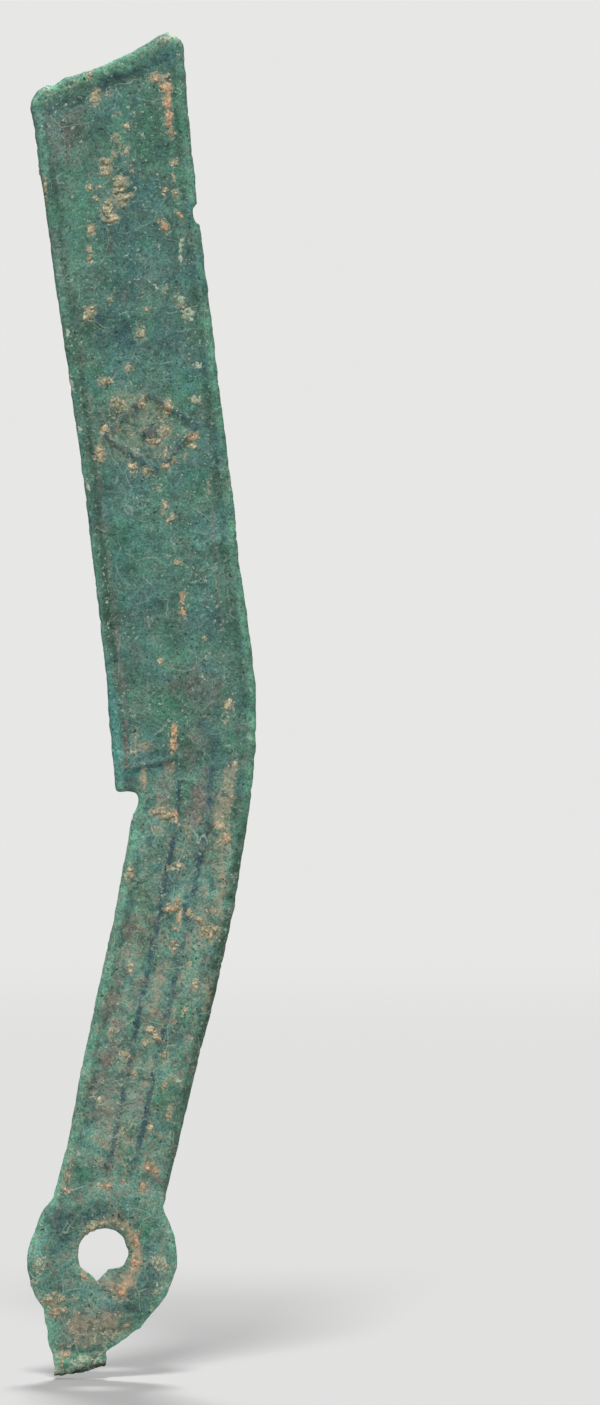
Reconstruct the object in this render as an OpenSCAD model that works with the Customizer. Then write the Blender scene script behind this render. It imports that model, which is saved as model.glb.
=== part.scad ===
// Knife money: a flat bronze casting in the shape of a small knife, with a ring
// at the end of its handle.
// It stands upright with the ring down. The origin is the centre of the ring's
// hole on the mould's parting plane, +Z runs up the knife and the obverse faces -Y.
// Each piece is drawn lying down, X across, Y up the knife and Z towards the
// obverse, and is stood up at the end. Lengths are in millimetres.

/* [Ring] */
// Outer diameter of the ring
ring_d = 15.4; // [14:0.1:18]
// Diameter of the hole
hole_d = 5.4; // [4:0.1:7]
// Width of the raised rim of the ring
ring_rim_w = 2.2; // [1.2:0.1:3]
// Width of the thin land round the hole
hole_land = 0.7; // [0.3:0.1:1.2]

/* [Gate] */
// Distance from the hole to the broken stub, along the handle's direction
gate_len = 10.8; // [9.4:0.1:14]
// Width of the gate where it leaves the ring
gate_root_w = 13; // [9:0.1:13.4]
// Width of the broken stub
stub_w = 5.5; // [3:0.1:7]
// Length of the broken stub at its middle
stub_len = 1.9; // [1.3:0.1:4]
// How much lower the stub starts on its edge side
gate_slant = 1.4; // [0:0.1:2]
// How much lower the stub ends on its edge side
break_slant = 2.5; // [0.5:0.1:3.5]
// Thickness of the gate between ring and stub
gate_t = 1.2; // [0.8:0.05:1.5]
// Thickness of the broken stub
stub_t = 1.5; // [1:0.05:2]

/* [Handle] */
// Distance from the hole to the bend, along the handle's axis
handle_len = 48.5; // [38:0.5:60]
// Lean of the handle to the back side, in degrees
handle_lean = 12.4; // [6:0.1:16]
// How far the handle's axis passes to the edge side of the hole
handle_offset = 0.5; // [0:0.1:0.8]
// Width of the handle beside the ring
handle_ring_w = 11.3; // [9:0.1:12]
// Width of the handle below the heel
handle_heel_w = 12.4; // [10.5:0.1:14]

/* [Blade] */
// Distance from the bend to the middle of the tip
blade_len = 77.5; // [60:0.5:95]
// Lean of the blade to the edge side, in degrees
blade_lean = 7.2; // [3:0.1:11]
// Width of the blade at the middle of its length
blade_w = 15.4; // [13.5:0.1:18]
// How far the edge curves in at the middle of its length
edge_hollow = 0.65; // [0:0.05:1]
// How far the back kicks out at the tip
tip_flare = 0.65; // [0:0.05:1]
// How far the tip's back corner stands beyond its edge corner
tip_slant = 4.3; // [1:0.1:6]
// How far the slanted tip curves in
tip_hollow = 0.2; // [0:0.05:0.8]
// Radius of the tip's corners
tip_corner_r = 1.4; // [0.8:0.1:2.4]
// How far the heel lies below the bend, along the handle's axis
heel_drop = 1; // [0:0.1:3]
// Radius of the bend along the back
bend_r = 87; // [45:1:110]

/* [Section] */
// Thickness of the field, inside the rims
field_t = 0.9; // [0.6:0.05:1.2]
// Thickness of the raised rims
rim_t = 1.6; // [1.4:0.05:2.4]
// Thickness at the outermost edge
edge_t = 0.8; // [0.4:0.05:1.2]
// Width of the raised rims
rim_w = 1.3; // [0.9:0.05:2]
// Width over which a rim rounds off to the outside
rim_round = 0.35; // [0.2:0.05:0.5]
// Width over which a rim falls to the field
rim_fall = 0.4; // [0.2:0.05:0.5]

/* [Ribs] */
// Gap between the ring and the lower ends of the ribs
rib_start = 1; // [0.4:0.1:4]
// Distance between the two ribs beside the ring
rib_gap = 2.6; // [1.6:0.1:3.6]
// Distance between the two ribs at their upper ends
rib_top_gap = 3.3; // [1.6:0.1:4]
// How far the upper ends of the ribs drift to the edge side
rib_drift = 1.1; // [0:0.1:1.6]
// Length of the ribs beyond the heel, on the blade
rib_over = 5; // [2:0.1:8]
// Width of a rib at its foot
rib_w = 0.8; // [0.5:0.05:1.2]
// Height of a rib above the field
rib_h = 0.22; // [0.1:0.02:0.24]

/* [Marks] */
// Width of the lozenge on the obverse
lozenge_w = 10.4; // [6:0.1:11]
// Height of the lozenge on the obverse
lozenge_h = 9; // [5:0.1:16]
// Diameter of the pellet inside the lozenge
pellet_d = 2.4; // [1.4:0.1:3]
// Width of a chevron on the reverse
chevron_w = 6.6; // [4:0.1:10]
// Rise of a chevron on the reverse
chevron_rise = 2; // [0.5:0.1:3]
// Distance between the chevrons
chevron_pitch = 2.6; // [1.8:0.1:4]
// Width of the strokes of both marks
stroke_w = 0.8; // [0.5:0.05:1.1]
// Height of both marks above the field
mark_h = 0.2; // [0.1:0.02:0.24]

/* [Earth] */
// Height of the crusts of burial earth above the field
crust_h = 0.16; // [0.08:0.02:0.24]
// Radius of the largest crust
crust_r = 1.3; // [0.8:0.1:1.6]

/* [Hidden] */
$fn = 64;

// Gap that keeps the curved seats round the ring from cutting into it
seat_gap = 0.02;
// Colours of the patina, the worn raised lines and the earth
patina = "#5c7f73";
worn = "#4a6a66";
earth = "#b39a76";

ring_r = ring_d / 2;
hole_r = hole_d / 2;
seat_r = ring_r + seat_gap;
field_z = field_t / 2;
rim_z = rim_t / 2;
edge_z = edge_t / 2;

// A point u up an axis and v across it, towards the back, in the flat drawing
function local(base, lean, u, v) =
    base + u * [sin(lean), cos(lean)] + v * [cos(lean), -sin(lean)];
function handle_point(u, v) = local(handle_base, handle_lean, u, v);
function blade_point(u, v) = local(bend, -blade_lean, u, v);

handle_base = [-handle_offset * cos(handle_lean), handle_offset * sin(handle_lean)];
bend = handle_point(handle_len, 0);
heel_u = handle_len - heel_drop;
turn = handle_lean + blade_lean;

// The bend's arc touches the back lines of the handle and of the blade
handle_taper = atan((handle_heel_w - handle_ring_w) / 2 / (heel_u - ring_r));
handle_normal = [cos(handle_lean + handle_taper), -sin(handle_lean + handle_taper)];
blade_normal = [cos(blade_lean), sin(blade_lean)];
handle_reach = handle_normal * handle_point(ring_r, handle_ring_w / 2) - bend_r;
blade_reach = blade_normal * blade_point(0, blade_w / 2) - bend_r;
normals_cross = handle_normal.x * blade_normal.y - handle_normal.y * blade_normal.x;
arc_centre = [
    (handle_reach * blade_normal.y - handle_normal.y * blade_reach) / normals_cross,
    (handle_normal.x * blade_reach - handle_reach * blade_normal.x) / normals_cross
];
// The arc's centre, up and across the handle's axis and up the blade's axis
arc_handle_u = (arc_centre - handle_base) * [sin(handle_lean), cos(handle_lean)];
arc_handle_v = (arc_centre - handle_base) * [cos(handle_lean), -sin(handle_lean)];
arc_blade_u = (arc_centre - bend) * [-sin(blade_lean), cos(blade_lean)];

// Distance across the handle from its axis to its edge and to its back
function handle_half(u) =
    (handle_ring_w + (handle_heel_w - handle_ring_w) * (u - ring_r) / (heel_u - ring_r)) / 2;
function handle_back(u) =
    u < arc_handle_u - bend_r * sin(handle_taper)
        ? handle_half(u)
        : arc_handle_v + sqrt(bend_r ^ 2 - (u - arc_handle_u) ^ 2);

// Distance across the blade from its axis to its edge and to its back
function blade_edge(u) = -blade_w / 2 - edge_hollow * (2 * u / blade_len - 1) ^ 2;
function blade_back(u) =
    blade_w / 2 - bend_r + sqrt(bend_r ^ 2 - max(0, arc_blade_u - u) ^ 2)
    + tip_flare * max(0, u / blade_len) ^ 8;

// Half thickness at a distance in from the outline
function half_thickness(inset) = lookup(inset, [
    [0, edge_z], [rim_round, rim_z], [rim_w - rim_fall, rim_z], [rim_w, field_z]
]);

// Columns across a plate: how far in from the edge or the back, or a share between
rim_lines = [0, rim_round / 2, rim_round, rim_w - rim_fall, rim_w];
field_shares = [0.06, 0.25, 0.5, 0.75, 0.94];
columns = concat(
    [for (inset = rim_lines) ["edge", inset]],
    [for (share = field_shares) ["field", share]],
    [for (i = [len(rim_lines) - 1 : -1 : 0]) ["back", rim_lines[i]]]
);
function across(column, edge, back) =
    column[0] == "edge" ? edge + column[1]
    : column[0] == "back" ? back - column[1]
    : edge + rim_w + column[1] * (back - edge - 2 * rim_w);
function column_inset(column) = column[0] == "field" ? rim_w : column[1];

// A thick plate from rows of points [x, y, half thickness], the same on both faces
module plate(rows) {
    row_count = len(rows);
    column_count = len(rows[0]);
    below = row_count * column_count;
    function at(i, j) = i * column_count + j;
    outline = concat(
        [for (i = [0 : row_count - 1]) at(i, 0)],
        [for (j = [1 : column_count - 1]) at(row_count - 1, j)],
        [for (i = [row_count - 2 : -1 : 0]) at(i, column_count - 1)],
        [for (j = [column_count - 2 : -1 : 1]) at(0, j)]
    );
    obverse_faces = [
        for (i = [0 : row_count - 2], j = [0 : column_count - 2])
            each [[at(i, j), at(i + 1, j), at(i + 1, j + 1)], [at(i, j), at(i + 1, j + 1), at(i, j + 1)]]
    ];
    reverse_faces = [for (face = obverse_faces) [face[2] + below, face[1] + below, face[0] + below]];
    wall_faces = [
        for (k = [0 : len(outline) - 1])
            let (a = outline[k], b = outline[(k + 1) % len(outline)])
            each [[b, a, a + below], [b, a + below, b + below]]
    ];
    polyhedron(
        points = [for (side = [1, -1]) for (row = rows) for (p = row) [p.x, p.y, side * p.z]],
        faces = concat(obverse_faces, reverse_faces, wall_faces)
    );
}

// Where a column of the blade starts, on the heel line, and where it ends, at the tip
function blade_v(column, u) = across(column, blade_edge(u), blade_back(u));
function blade_foot(column, u = 0, tries = 8) =
    tries == 0
        ? u
        : blade_foot(column, (-heel_drop - blade_v(column, u) * sin(turn)) / cos(turn), tries - 1);
function corner_drop(inset) =
    tip_corner_r - sqrt(tip_corner_r ^ 2 - max(0, tip_corner_r - inset) ^ 2);
function tip_line(v) = blade_len + tip_slant * v / blade_w - tip_hollow * (1 - (2 * v / blade_w) ^ 2);
function blade_top(column) =
    let (v = blade_v(column, blade_len))
    tip_line(v) - corner_drop(min(v - blade_edge(blade_len), blade_back(blade_len) - v));

// The blade: a flat field with a raised rim along edge, tip and back
blade_steps = 22;
module blade_plate() {
    climbs = [for (i = [0 : blade_steps]) [i / blade_steps, rim_w]];
    tips = [for (i = [len(rim_lines) - 2 : -1 : 0]) [1, rim_lines[i]]];
    plate([
        for (row = concat(climbs, tips)) [
            for (column = columns)
                let (
                    foot = blade_foot(column),
                    u = foot + row[0] * (blade_top(column) - row[1] - foot),
                    place = blade_point(u, blade_v(column, u))
                )
                [place.x, place.y, half_thickness(min(column_inset(column), row[1]))]
        ]
    ]);
}

// The handle: a flat field with a raised rim along each side, seated on the ring
handle_steps = 16;
module handle_plate() {
    plate([
        for (i = [0 : handle_steps]) [
            for (column = columns)
                let (
                    foot_v = across(column, -handle_half(ring_r), handle_half(ring_r)),
                    foot = sqrt(seat_r ^ 2 - (foot_v - handle_offset) ^ 2),
                    u = foot + i / handle_steps * (heel_u - foot),
                    v = i == 0 ? foot_v : across(column, -handle_half(u), handle_back(u)),
                    place = handle_point(u, v)
                )
                [place.x, place.y, half_thickness(column_inset(column))]
        ]
    ]);
}

// The ring: a raised outer rim that dishes down to a thin land round the hole
module ring_body() {
    face = [
        [hole_r, field_z],
        [hole_r + hole_land, field_z],
        [ring_r - ring_rim_w, rim_z],
        [ring_r - rim_round, rim_z],
        [ring_r, edge_z]
    ];
    far_face = [for (i = [len(face) - 1 : -1 : 0]) [face[i].x, -face[i].y]];
    rotate_extrude() polygon(concat(face, far_face));
}

// The gate: a tapering neck below the ring and the stub where the sprue broke off
function gate_point(u, v) = local([0, 0], handle_lean, -u, v);
function stub_start(v) = gate_len - gate_slant * v / stub_w;
function stub_end(v) = gate_len + stub_len - break_slant * v / stub_w;
gate_root_u = sqrt(ring_r ^ 2 - (gate_root_w / 2) ^ 2);
module gate_neck_body() {
    linear_extrude(height = gate_t, center = true)
        difference() {
            polygon([
                gate_point(0, -gate_root_w / 2),
                gate_point(gate_root_u, -gate_root_w / 2),
                gate_point(stub_start(-stub_w / 2), -stub_w / 2),
                gate_point(stub_start(stub_w / 2), stub_w / 2),
                gate_point(gate_root_u, gate_root_w / 2),
                gate_point(0, gate_root_w / 2)
            ]);
            circle(r = seat_r);
        }
}
module gate_stub_body() {
    linear_extrude(height = stub_t, center = true)
        polygon([
            gate_point(stub_start(-stub_w / 2), -stub_w / 2),
            gate_point(stub_end(-stub_w / 2), -stub_w / 2),
            gate_point(stub_end(stub_w / 2), stub_w / 2),
            gate_point(stub_start(stub_w / 2), stub_w / 2)
        ]);
}

// Puts a raised feature on the field of the obverse or of the reverse
module on_obverse() { translate([0, 0, field_z]) children(); }
module on_reverse() { mirror([0, 0, 1]) on_obverse() children(); }

// A raised line with sloping sides between two points of the field
module raised_line(from, to, width, height) {
    run = to - from;
    translate(from)
        rotate(atan2(run.y, run.x))
        rotate([90, 0, 90])
        linear_extrude(height = norm(run))
        polygon([[-width / 2, 0], [width / 2, 0], [width / 4, height], [-width / 4, height]]);
}

// Two ribs up the handle, and the bar that leads from the inner one to the edge rim
rib_foot_u = ring_r + rib_start;
rib_top_u = heel_u + rib_over;
function rib_v(side, u) =
    let (climb = (u - rib_foot_u) / (rib_top_u - rib_foot_u))
    side * (rib_gap + climb * (rib_top_gap - rib_gap)) / 2 - climb * rib_drift;
module ribs() {
    for (side = [-1, 1])
        raised_line(
            handle_point(rib_foot_u, rib_v(side, rib_foot_u)),
            handle_point(rib_top_u, rib_v(side, rib_top_u)),
            rib_w, rib_h
        );
    bar_u = rib_over - rib_w;
    raised_line(
        handle_point(rib_top_u - rib_w / 2, rib_v(-1, rib_top_u) - rib_w),
        blade_point(bar_u, blade_edge(bar_u) + rim_w + rib_w / 2),
        rib_w, rib_h
    );
}

// Plain marks in relief: a lozenge round a pellet, and a stack of chevrons
mark_place = 0.5;
module lozenge_outline(inset) {
    half_w = lozenge_w / 2 - inset * lozenge_w / lozenge_h;
    half_h = lozenge_h / 2 - inset;
    polygon([[-half_w, 0], [0, half_h], [half_w, 0], [0, -half_h]]);
}
module low_dome(radius, height) {
    rotate_extrude()
        polygon([[0, 0], [radius, 0], [0.8 * radius, 0.55 * height], [0.45 * radius, height], [0, height]]);
}
module lozenge() {
    linear_extrude(height = mark_h)
        difference() {
            lozenge_outline(0);
            lozenge_outline(stroke_w);
        }
    low_dome(pellet_d / 2, mark_h);
}
chevron_count = 3;
chevron_reach = (chevron_count - 1) / 2 * chevron_pitch + chevron_rise + stroke_w;
module chevrons() {
    for (i = [0 : chevron_count - 1])
        translate([0, (i - (chevron_count - 1) / 2) * chevron_pitch])
            linear_extrude(height = mark_h)
            polygon([
                [-chevron_w / 2, 0], [0, chevron_rise], [chevron_w / 2, 0],
                [chevron_w / 2, -stroke_w], [0, chevron_rise - stroke_w], [-chevron_w / 2, -stroke_w]
            ]);
}
module on_blade_middle() {
    place = blade_point(mark_place * blade_len, 0);
    translate([place.x, place.y, 0]) rotate(blade_lean) children();
}

// Crusts of burial earth on the blade, above and below its mark:
// [share up that stretch, share across the field, share of crust_r]
obverse_high_crusts = [
    [1, 0.7, 0.8], [0.86, 0.75, 0.6], [0.92, -0.25, 0.5], [0.74, 0.02, 0.7],
    [0.62, -0.2, 0.8], [0.5, 0.05, 0.9], [0.41, -0.15, 1], [0.36, 0.6, 0.8],
    [0.28, -0.4, 0.5], [0.08, -0.5, 0.7], [0.06, 0.55, 0.6]
];
obverse_low_crusts = [
    [0.95, 0.42, 0.7], [0.88, -0.5, 0.5], [0.55, 0.15, 0.6], [0.28, 0.35, 0.5], [0.05, 0.5, 0.5]
];
reverse_high_crusts = [
    [1, 0.55, 0.6], [0.88, 0.1, 0.6], [0.82, -0.62, 0.9], [0.7, 0.6, 0.7],
    [0.56, 0.35, 0.6], [0.42, 0.3, 0.8], [0.36, -0.6, 0.5], [0.2, 0.08, 0.5],
    [0.1, 0.62, 0.6], [0.03, 0.2, 1]
];
reverse_low_crusts = [
    [0.95, 0.45, 0.6], [0.8, 0.5, 0.7], [0.45, -0.2, 0.6], [0.4, 0.6, 0.7], [0.2, 0.32, 0.6], [0, -0.55, 0.5]
];
module crust_at(place, radius) {
    translate([place.x, place.y, 0]) low_dome(radius, crust_h);
}
module blade_crusts(crusts, low_u, high_u) {
    for (crust = crusts) {
        u = low_u + crust[0] * (high_u - low_u);
        reach = (blade_back(u) - blade_edge(u)) / 2 - rim_w - crust_r;
        middle = (blade_back(u) + blade_edge(u)) / 2;
        crust_at(blade_point(u, middle + crust[1] * reach), crust[2] * crust_r);
    }
}
module high_blade_crusts(crusts, mark_reach) {
    blade_crusts(crusts, mark_place * blade_len + mark_reach + crust_r, blade_top(columns[0]) - rim_w - crust_r);
}
module low_blade_crusts(crusts, mark_reach) {
    blade_crusts(crusts, rib_over + rim_w + 2 * crust_r, mark_place * blade_len - mark_reach - crust_r);
}

// Crusts on the handle, in the lanes between rims and ribs:
// [share up the handle, lane from the edge 0 to the back 2, share of the lane's width]
handle_obverse_crusts = [
    [0.95, 0, 0.7], [0.86, 2, 0.5], [0.76, 1, 0.8], [0.66, 2, 0.6],
    [0.56, 0, 0.6], [0.51, 2, 0.8], [0.44, 0, 0.5], [0.33, 1, 0.7],
    [0.25, 2, 0.5], [0.1, 1, 0.6], [0.04, 0, 0.6]
];
handle_reverse_crusts = [
    [0.92, 1, 0.9], [0.76, 0, 0.6], [0.7, 1, 0.5], [0.64, 0, 0.8],
    [0.5, 2, 0.6], [0.46, 1, 0.7], [0.33, 0, 0.7], [0.25, 2, 0.5], [0.12, 1, 0.6], [0.06, 0, 0.6]
];
function lane_sides(lane, u) =
    lane == 0 ? [rim_w - handle_half(u), rib_v(-1, u) - rib_w / 2]
    : lane == 1 ? [rib_v(-1, u) + rib_w / 2, rib_v(1, u) - rib_w / 2]
    : [rib_v(1, u) + rib_w / 2, handle_back(u) - rim_w];
module handle_crusts(crusts) {
    low_u = rib_foot_u + crust_r;
    high_u = heel_u - crust_r;
    for (crust = crusts) {
        u = low_u + crust[0] * (high_u - low_u);
        sides = lane_sides(crust[1], u);
        crust_at(handle_point(u, (sides[0] + sides[1]) / 2), crust[2] * (sides[1] - sides[0]) / 2);
    }
}

// Stands a piece up from the flat drawing
module stand() { rotate([90, 0, 0]) children(); }

module blade() { color(patina) stand() blade_plate(); }
module handle() { color(patina) stand() handle_plate(); }
module ring() { color(patina) stand() ring_body(); }
module gate_neck() { color(patina) stand() gate_neck_body(); }
module gate_stub() { color(patina) stand() gate_stub_body(); }
module obverse_ribs() { color(worn) stand() on_obverse() ribs(); }
module reverse_ribs() { color(worn) stand() on_reverse() ribs(); }
module obverse_mark() { color(worn) stand() on_obverse() on_blade_middle() lozenge(); }
module reverse_mark() { color(worn) stand() on_reverse() on_blade_middle() chevrons(); }
module blade_obverse_earth() {
    color(earth) stand() on_obverse() {
        high_blade_crusts(obverse_high_crusts, lozenge_h / 2);
        low_blade_crusts(obverse_low_crusts, lozenge_h / 2);
    }
}
module blade_reverse_earth() {
    color(earth) stand() on_reverse() {
        high_blade_crusts(reverse_high_crusts, chevron_reach);
        low_blade_crusts(reverse_low_crusts, chevron_reach);
    }
}
module handle_obverse_earth() { color(earth) stand() on_obverse() handle_crusts(handle_obverse_crusts); }
module handle_reverse_earth() { color(earth) stand() on_reverse() handle_crusts(handle_reverse_crusts); }

blade();
handle();
ring();
gate_neck();
gate_stub();
obverse_ribs();
reverse_ribs();
obverse_mark();
reverse_mark();
blade_obverse_earth();
blade_reverse_earth();
handle_obverse_earth();
handle_reverse_earth();
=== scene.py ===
import math

import bmesh
import bpy
import numpy as np
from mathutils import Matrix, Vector, kdtree, noise


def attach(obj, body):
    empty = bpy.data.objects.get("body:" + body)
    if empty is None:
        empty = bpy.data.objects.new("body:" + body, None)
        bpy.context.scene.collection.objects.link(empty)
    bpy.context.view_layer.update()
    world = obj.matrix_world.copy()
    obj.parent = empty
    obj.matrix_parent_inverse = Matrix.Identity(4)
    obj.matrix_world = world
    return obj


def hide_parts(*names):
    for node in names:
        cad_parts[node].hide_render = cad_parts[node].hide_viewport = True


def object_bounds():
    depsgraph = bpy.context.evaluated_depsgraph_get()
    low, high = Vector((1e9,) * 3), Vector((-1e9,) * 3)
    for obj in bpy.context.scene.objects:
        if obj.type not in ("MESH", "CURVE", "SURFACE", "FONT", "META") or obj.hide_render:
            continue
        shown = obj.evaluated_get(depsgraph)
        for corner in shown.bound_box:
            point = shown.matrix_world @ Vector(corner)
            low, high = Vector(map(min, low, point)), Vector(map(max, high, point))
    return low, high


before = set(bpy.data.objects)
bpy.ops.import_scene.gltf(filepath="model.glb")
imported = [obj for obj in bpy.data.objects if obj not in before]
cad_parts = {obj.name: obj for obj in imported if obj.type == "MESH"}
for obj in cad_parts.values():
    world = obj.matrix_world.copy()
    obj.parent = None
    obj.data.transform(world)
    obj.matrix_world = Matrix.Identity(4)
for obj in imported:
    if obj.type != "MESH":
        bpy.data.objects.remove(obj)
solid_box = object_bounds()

# The casting: blade, handle, ring and gate are one pour of leaded bronze in a mould
# of two halves. Their solids are welded into one body, and its skin is then worn and
# pitted as one. Lengths are in mm until the pieces are cut from it.
mm = 0.001
skin_mesh_size, touching, smoothing_rounds = 0.174, 1e-7, 5


def mesh_from(form, name):
    # Turns a shape that was being worked on into a mesh.
    mesh = bpy.data.meshes.new(name)
    form.to_mesh(mesh)
    form.free()
    return mesh


def in_scene(name, data):
    # Puts a mesh, lamp or camera into the scene, at the origin.
    thing = bpy.data.objects.new(name, data)
    bpy.context.scene.collection.objects.link(thing)
    return thing


poured = bmesh.new()
for name in (
    "blade", "handle", "ring", "gate_neck", "gate_stub",
    "obverse_ribs", "reverse_ribs", "obverse_mark", "reverse_mark",
):
    solid = bmesh.new()
    solid.from_mesh(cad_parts[name].data)
    bmesh.ops.remove_doubles(solid, verts=solid.verts, dist=touching)
    bmesh.ops.scale(solid, vec=Vector((1 / mm, 1 / mm, 1 / mm)), verts=solid.verts)
    lump = mesh_from(solid, name + "_lump")
    poured.from_mesh(lump)
    bpy.data.meshes.remove(lump)
poured_mesh = mesh_from(poured, "poured")
rough = in_scene("poured", poured_mesh)
weld = rough.modifiers.new("weld", "REMESH")
weld.mode = "VOXEL"
weld.voxel_size = skin_mesh_size
skin = bpy.data.meshes.new_from_object(rough.evaluated_get(bpy.context.evaluated_depsgraph_get()))
bpy.data.objects.remove(rough)
bpy.data.meshes.remove(poured_mesh)

# The skin's points, each as its place across, through and up the knife, and its edges and quads
count = len(skin.vertices)
points = np.empty(count * 3)
skin.vertices.foreach_get("co", points)
points = points.reshape(-1, 3)
edges = np.empty(len(skin.edges) * 2, np.int64)
skin.edges.foreach_get("vertices", edges)
edges = edges.reshape(-1, 2)
corners = np.empty(len(skin.loops), np.int64)
skin.loops.foreach_get("vertex_index", corners)
quads = corners.reshape(-1, 4)
neighbours = np.bincount(edges.ravel(), minlength=count)


def relaxed(values, rounds):
    # Rubs a value of every skin point halfway to the mean of its neighbours, so many times.
    values = values.reshape(count, -1).copy()
    for _ in range(rounds):
        for axis in range(values.shape[1]):
            column = values[:, axis]
            total = np.bincount(edges[:, 0], column[edges[:, 1]], count)
            total += np.bincount(edges[:, 1], column[edges[:, 0]], count)
            values[:, axis] = column + 0.5 * (total / neighbours - column)
    return values.squeeze()


def outward(places):
    # The outward direction of the skin at every point.
    across = places[quads[:, 2]] - places[quads[:, 0]]
    along = places[quads[:, 3]] - places[quads[:, 1]]
    turned = np.cross(across, along)
    total = np.zeros_like(places)
    for corner in range(4):
        for axis in range(3):
            total[:, axis] += np.bincount(quads[:, corner], turned[:, axis], count)
    return total / np.linalg.norm(total, axis=1)[:, None]


def lumps(places, length, start, octaves=3):
    # Smooth uneven values of about -1 to 1, with lumps of about that length.
    shift, increment, lacunarity = Vector((start, 3.1 * start, 7.3 * start)), 0.9, 2.0
    spots = (Vector(place) / length + shift for place in places)
    return np.array([noise.fractal(spot, increment, lacunarity, octaves) for spot in spots])


def eased(values, low, high):
    # 0 below low, 1 above high, and a smooth rise between.
    share = np.clip((values - low) / (high - low), 0, 1)
    return share * share * (3 - 2 * share)


def faded(values, low, high):
    # 1 below low, 0 above high, and a smooth fall between.
    return 1 - eased(values, low, high)


def hump(values, middle, half_width):
    # 1 in the middle, falling smoothly to 0 at half_width to each side.
    return faded(np.abs(values - middle), 0, half_width)


points = relaxed(points, smoothing_rounds)
from_hole = np.hypot(points[:, 0], points[:, 2])
around_hole = np.degrees(np.arctan2(points[:, 2], points[:, 0])) % 360

# Distances up and across the axes of the handle and of the blade, which meet at the bend
handle_lean, blade_lean = math.radians(12.4), math.radians(7.2)
handle_offset, handle_length = 0.5, 48.5
handle_up = np.array([math.sin(handle_lean), math.cos(handle_lean)])
handle_over = np.array([math.cos(handle_lean), -math.sin(handle_lean)])
blade_up = np.array([-math.sin(blade_lean), math.cos(blade_lean)])
blade_over = np.array([math.cos(blade_lean), math.sin(blade_lean)])
handle_base = -handle_offset * handle_over
bend = handle_base + handle_length * handle_up
plan = points[:, [0, 2]].copy()
up_handle, over_handle = (plan - handle_base) @ handle_up, (plan - handle_base) @ handle_over
up_blade, over_blade = (plan - bend) @ blade_up, (plan - bend) @ blade_over

# The ring runs into the handle and the gate without a step
levelling_rounds, ring_reach, step_reach = 60, 7.7, 2.2
level = relaxed(points[:, 1], levelling_rounds)
joins = np.maximum(eased(up_handle, 4.5, 6.5), eased(-up_handle, 4.0, 6.5))
points[:, 1] += hump(from_hole, ring_reach, step_reach) * joins * (level - points[:, 1])

# How far each point is from the nearest point of the outline, seen flat
facing = outward(points)
steepest_face, hole_clearance = 0.35, 5
outline_points = np.flatnonzero((np.abs(facing[:, 1]) < steepest_face) & (from_hole > hole_clearance))
outline = kdtree.KDTree(len(outline_points))
for index in outline_points:
    outline.insert((points[index, 0], 0, points[index, 2]), int(index))
outline.balance()
from_outline = np.array([outline.find((x, 0, z))[2] for x, z in plan])

# Raised lines stand out from the field round them: ribs, marks and the bar at the heel
rim_width, rib_lift, mark_lift, bar_lift = 1.75, 0.02, 0.15, 0.10
side = np.sign(facing[:, 1])
raised = (points[:, 1] - relaxed(points[:, 1], levelling_rounds)) * side
on_field = (from_outline > rim_width) & (from_hole > ring_reach + 0.6) & (up_handle > 0)
raised_line = relaxed(eased(raised, 0.03, 0.10) * on_field, 2)
on_bar = hump(up_blade, 4.8, 3.0) * eased(-over_blade, 0.5, 1.5)
lift = rib_lift + mark_lift * eased(up_blade, 15, 25) + bar_lift * on_bar
points[:, 1] += side * lift * raised_line

# The rims stand up round with a furrow inside them, and the edges are worn round
blade_width, blade_length, tip_slant, tip_hollow = 15.4, 77.5, 4.3, 0.2
tip_line = blade_length + tip_slant * over_blade / blade_width
tip_line -= tip_hollow * (1 - (2 * over_blade / blade_width) ** 2)
under_tip = (tip_line - up_blade) * math.cos(math.atan(tip_slant / blade_width))
level = relaxed(points[:, 1], levelling_rounds)
tip_step = faded(under_tip, 2.5, 4.5) * eased(from_outline, 0.5, 1.0)
edge_step = 0.3 * hump(from_outline, 1.2, 0.8) * eased(-over_blade, 4, 5) * eased(up_handle, 48, 51)
points[:, 1] += np.maximum(tip_step, edge_step) * (level - points[:, 1])
rim_height, furrow_depth, edge_wear, wear_reach = 0.05, 0.02, 0.38, 1.1
on_rims = eased(up_handle, 7, 10) * eased(under_tip, 1.5, 3.5)
rim = rim_height * hump(from_outline, 0.8, 0.6) - furrow_depth * hump(from_outline, 1.6, 0.6)
points[:, 1] += side * on_rims * rim
points[:, 1] *= 1 - edge_wear * (1 - np.clip(from_outline / wear_reach, 0, 1)) ** 2

# The edge and the back wander a little to either side along the knife
edge_heights = [8, 13, 18, 27, 34, 40, 46, 56, 59, 63, 74, 80, 88, 96, 103, 110, 118]
edge_shifts = [
    0, 0.18, 0, 0, 0.15, 0.04, -0.1, -0.08, 0.16, 0.06, 0.02, 0.1, -0.04, -0.1, -0.2, -0.08, -0.04,
]
back_heights = [8, 18, 22, 27, 31, 37, 40, 46, 53, 59, 65, 68, 71.4, 74.5, 77, 84, 93, 106]
back_shifts = [
    0, 0.06, 0.11, 0.22, 0.19, 0.06, -0.16, -0.08, 0.1,
    0.08, -0.16, -0.18, -0.35, -0.25, -0.06, -0.1, -0.04, 0,
]
to_edge = np.where(up_handle < handle_length, over_handle, over_blade) < 0
edge_wander = np.interp(points[:, 2], edge_heights, edge_shifts)
back_wander = np.interp(points[:, 2], back_heights, back_shifts)
wander = np.where(to_edge, edge_wander, back_wander)
points[:, 0] += wander * faded(from_outline, 0.5, 4) * eased(up_handle, 7, 10)

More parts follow.
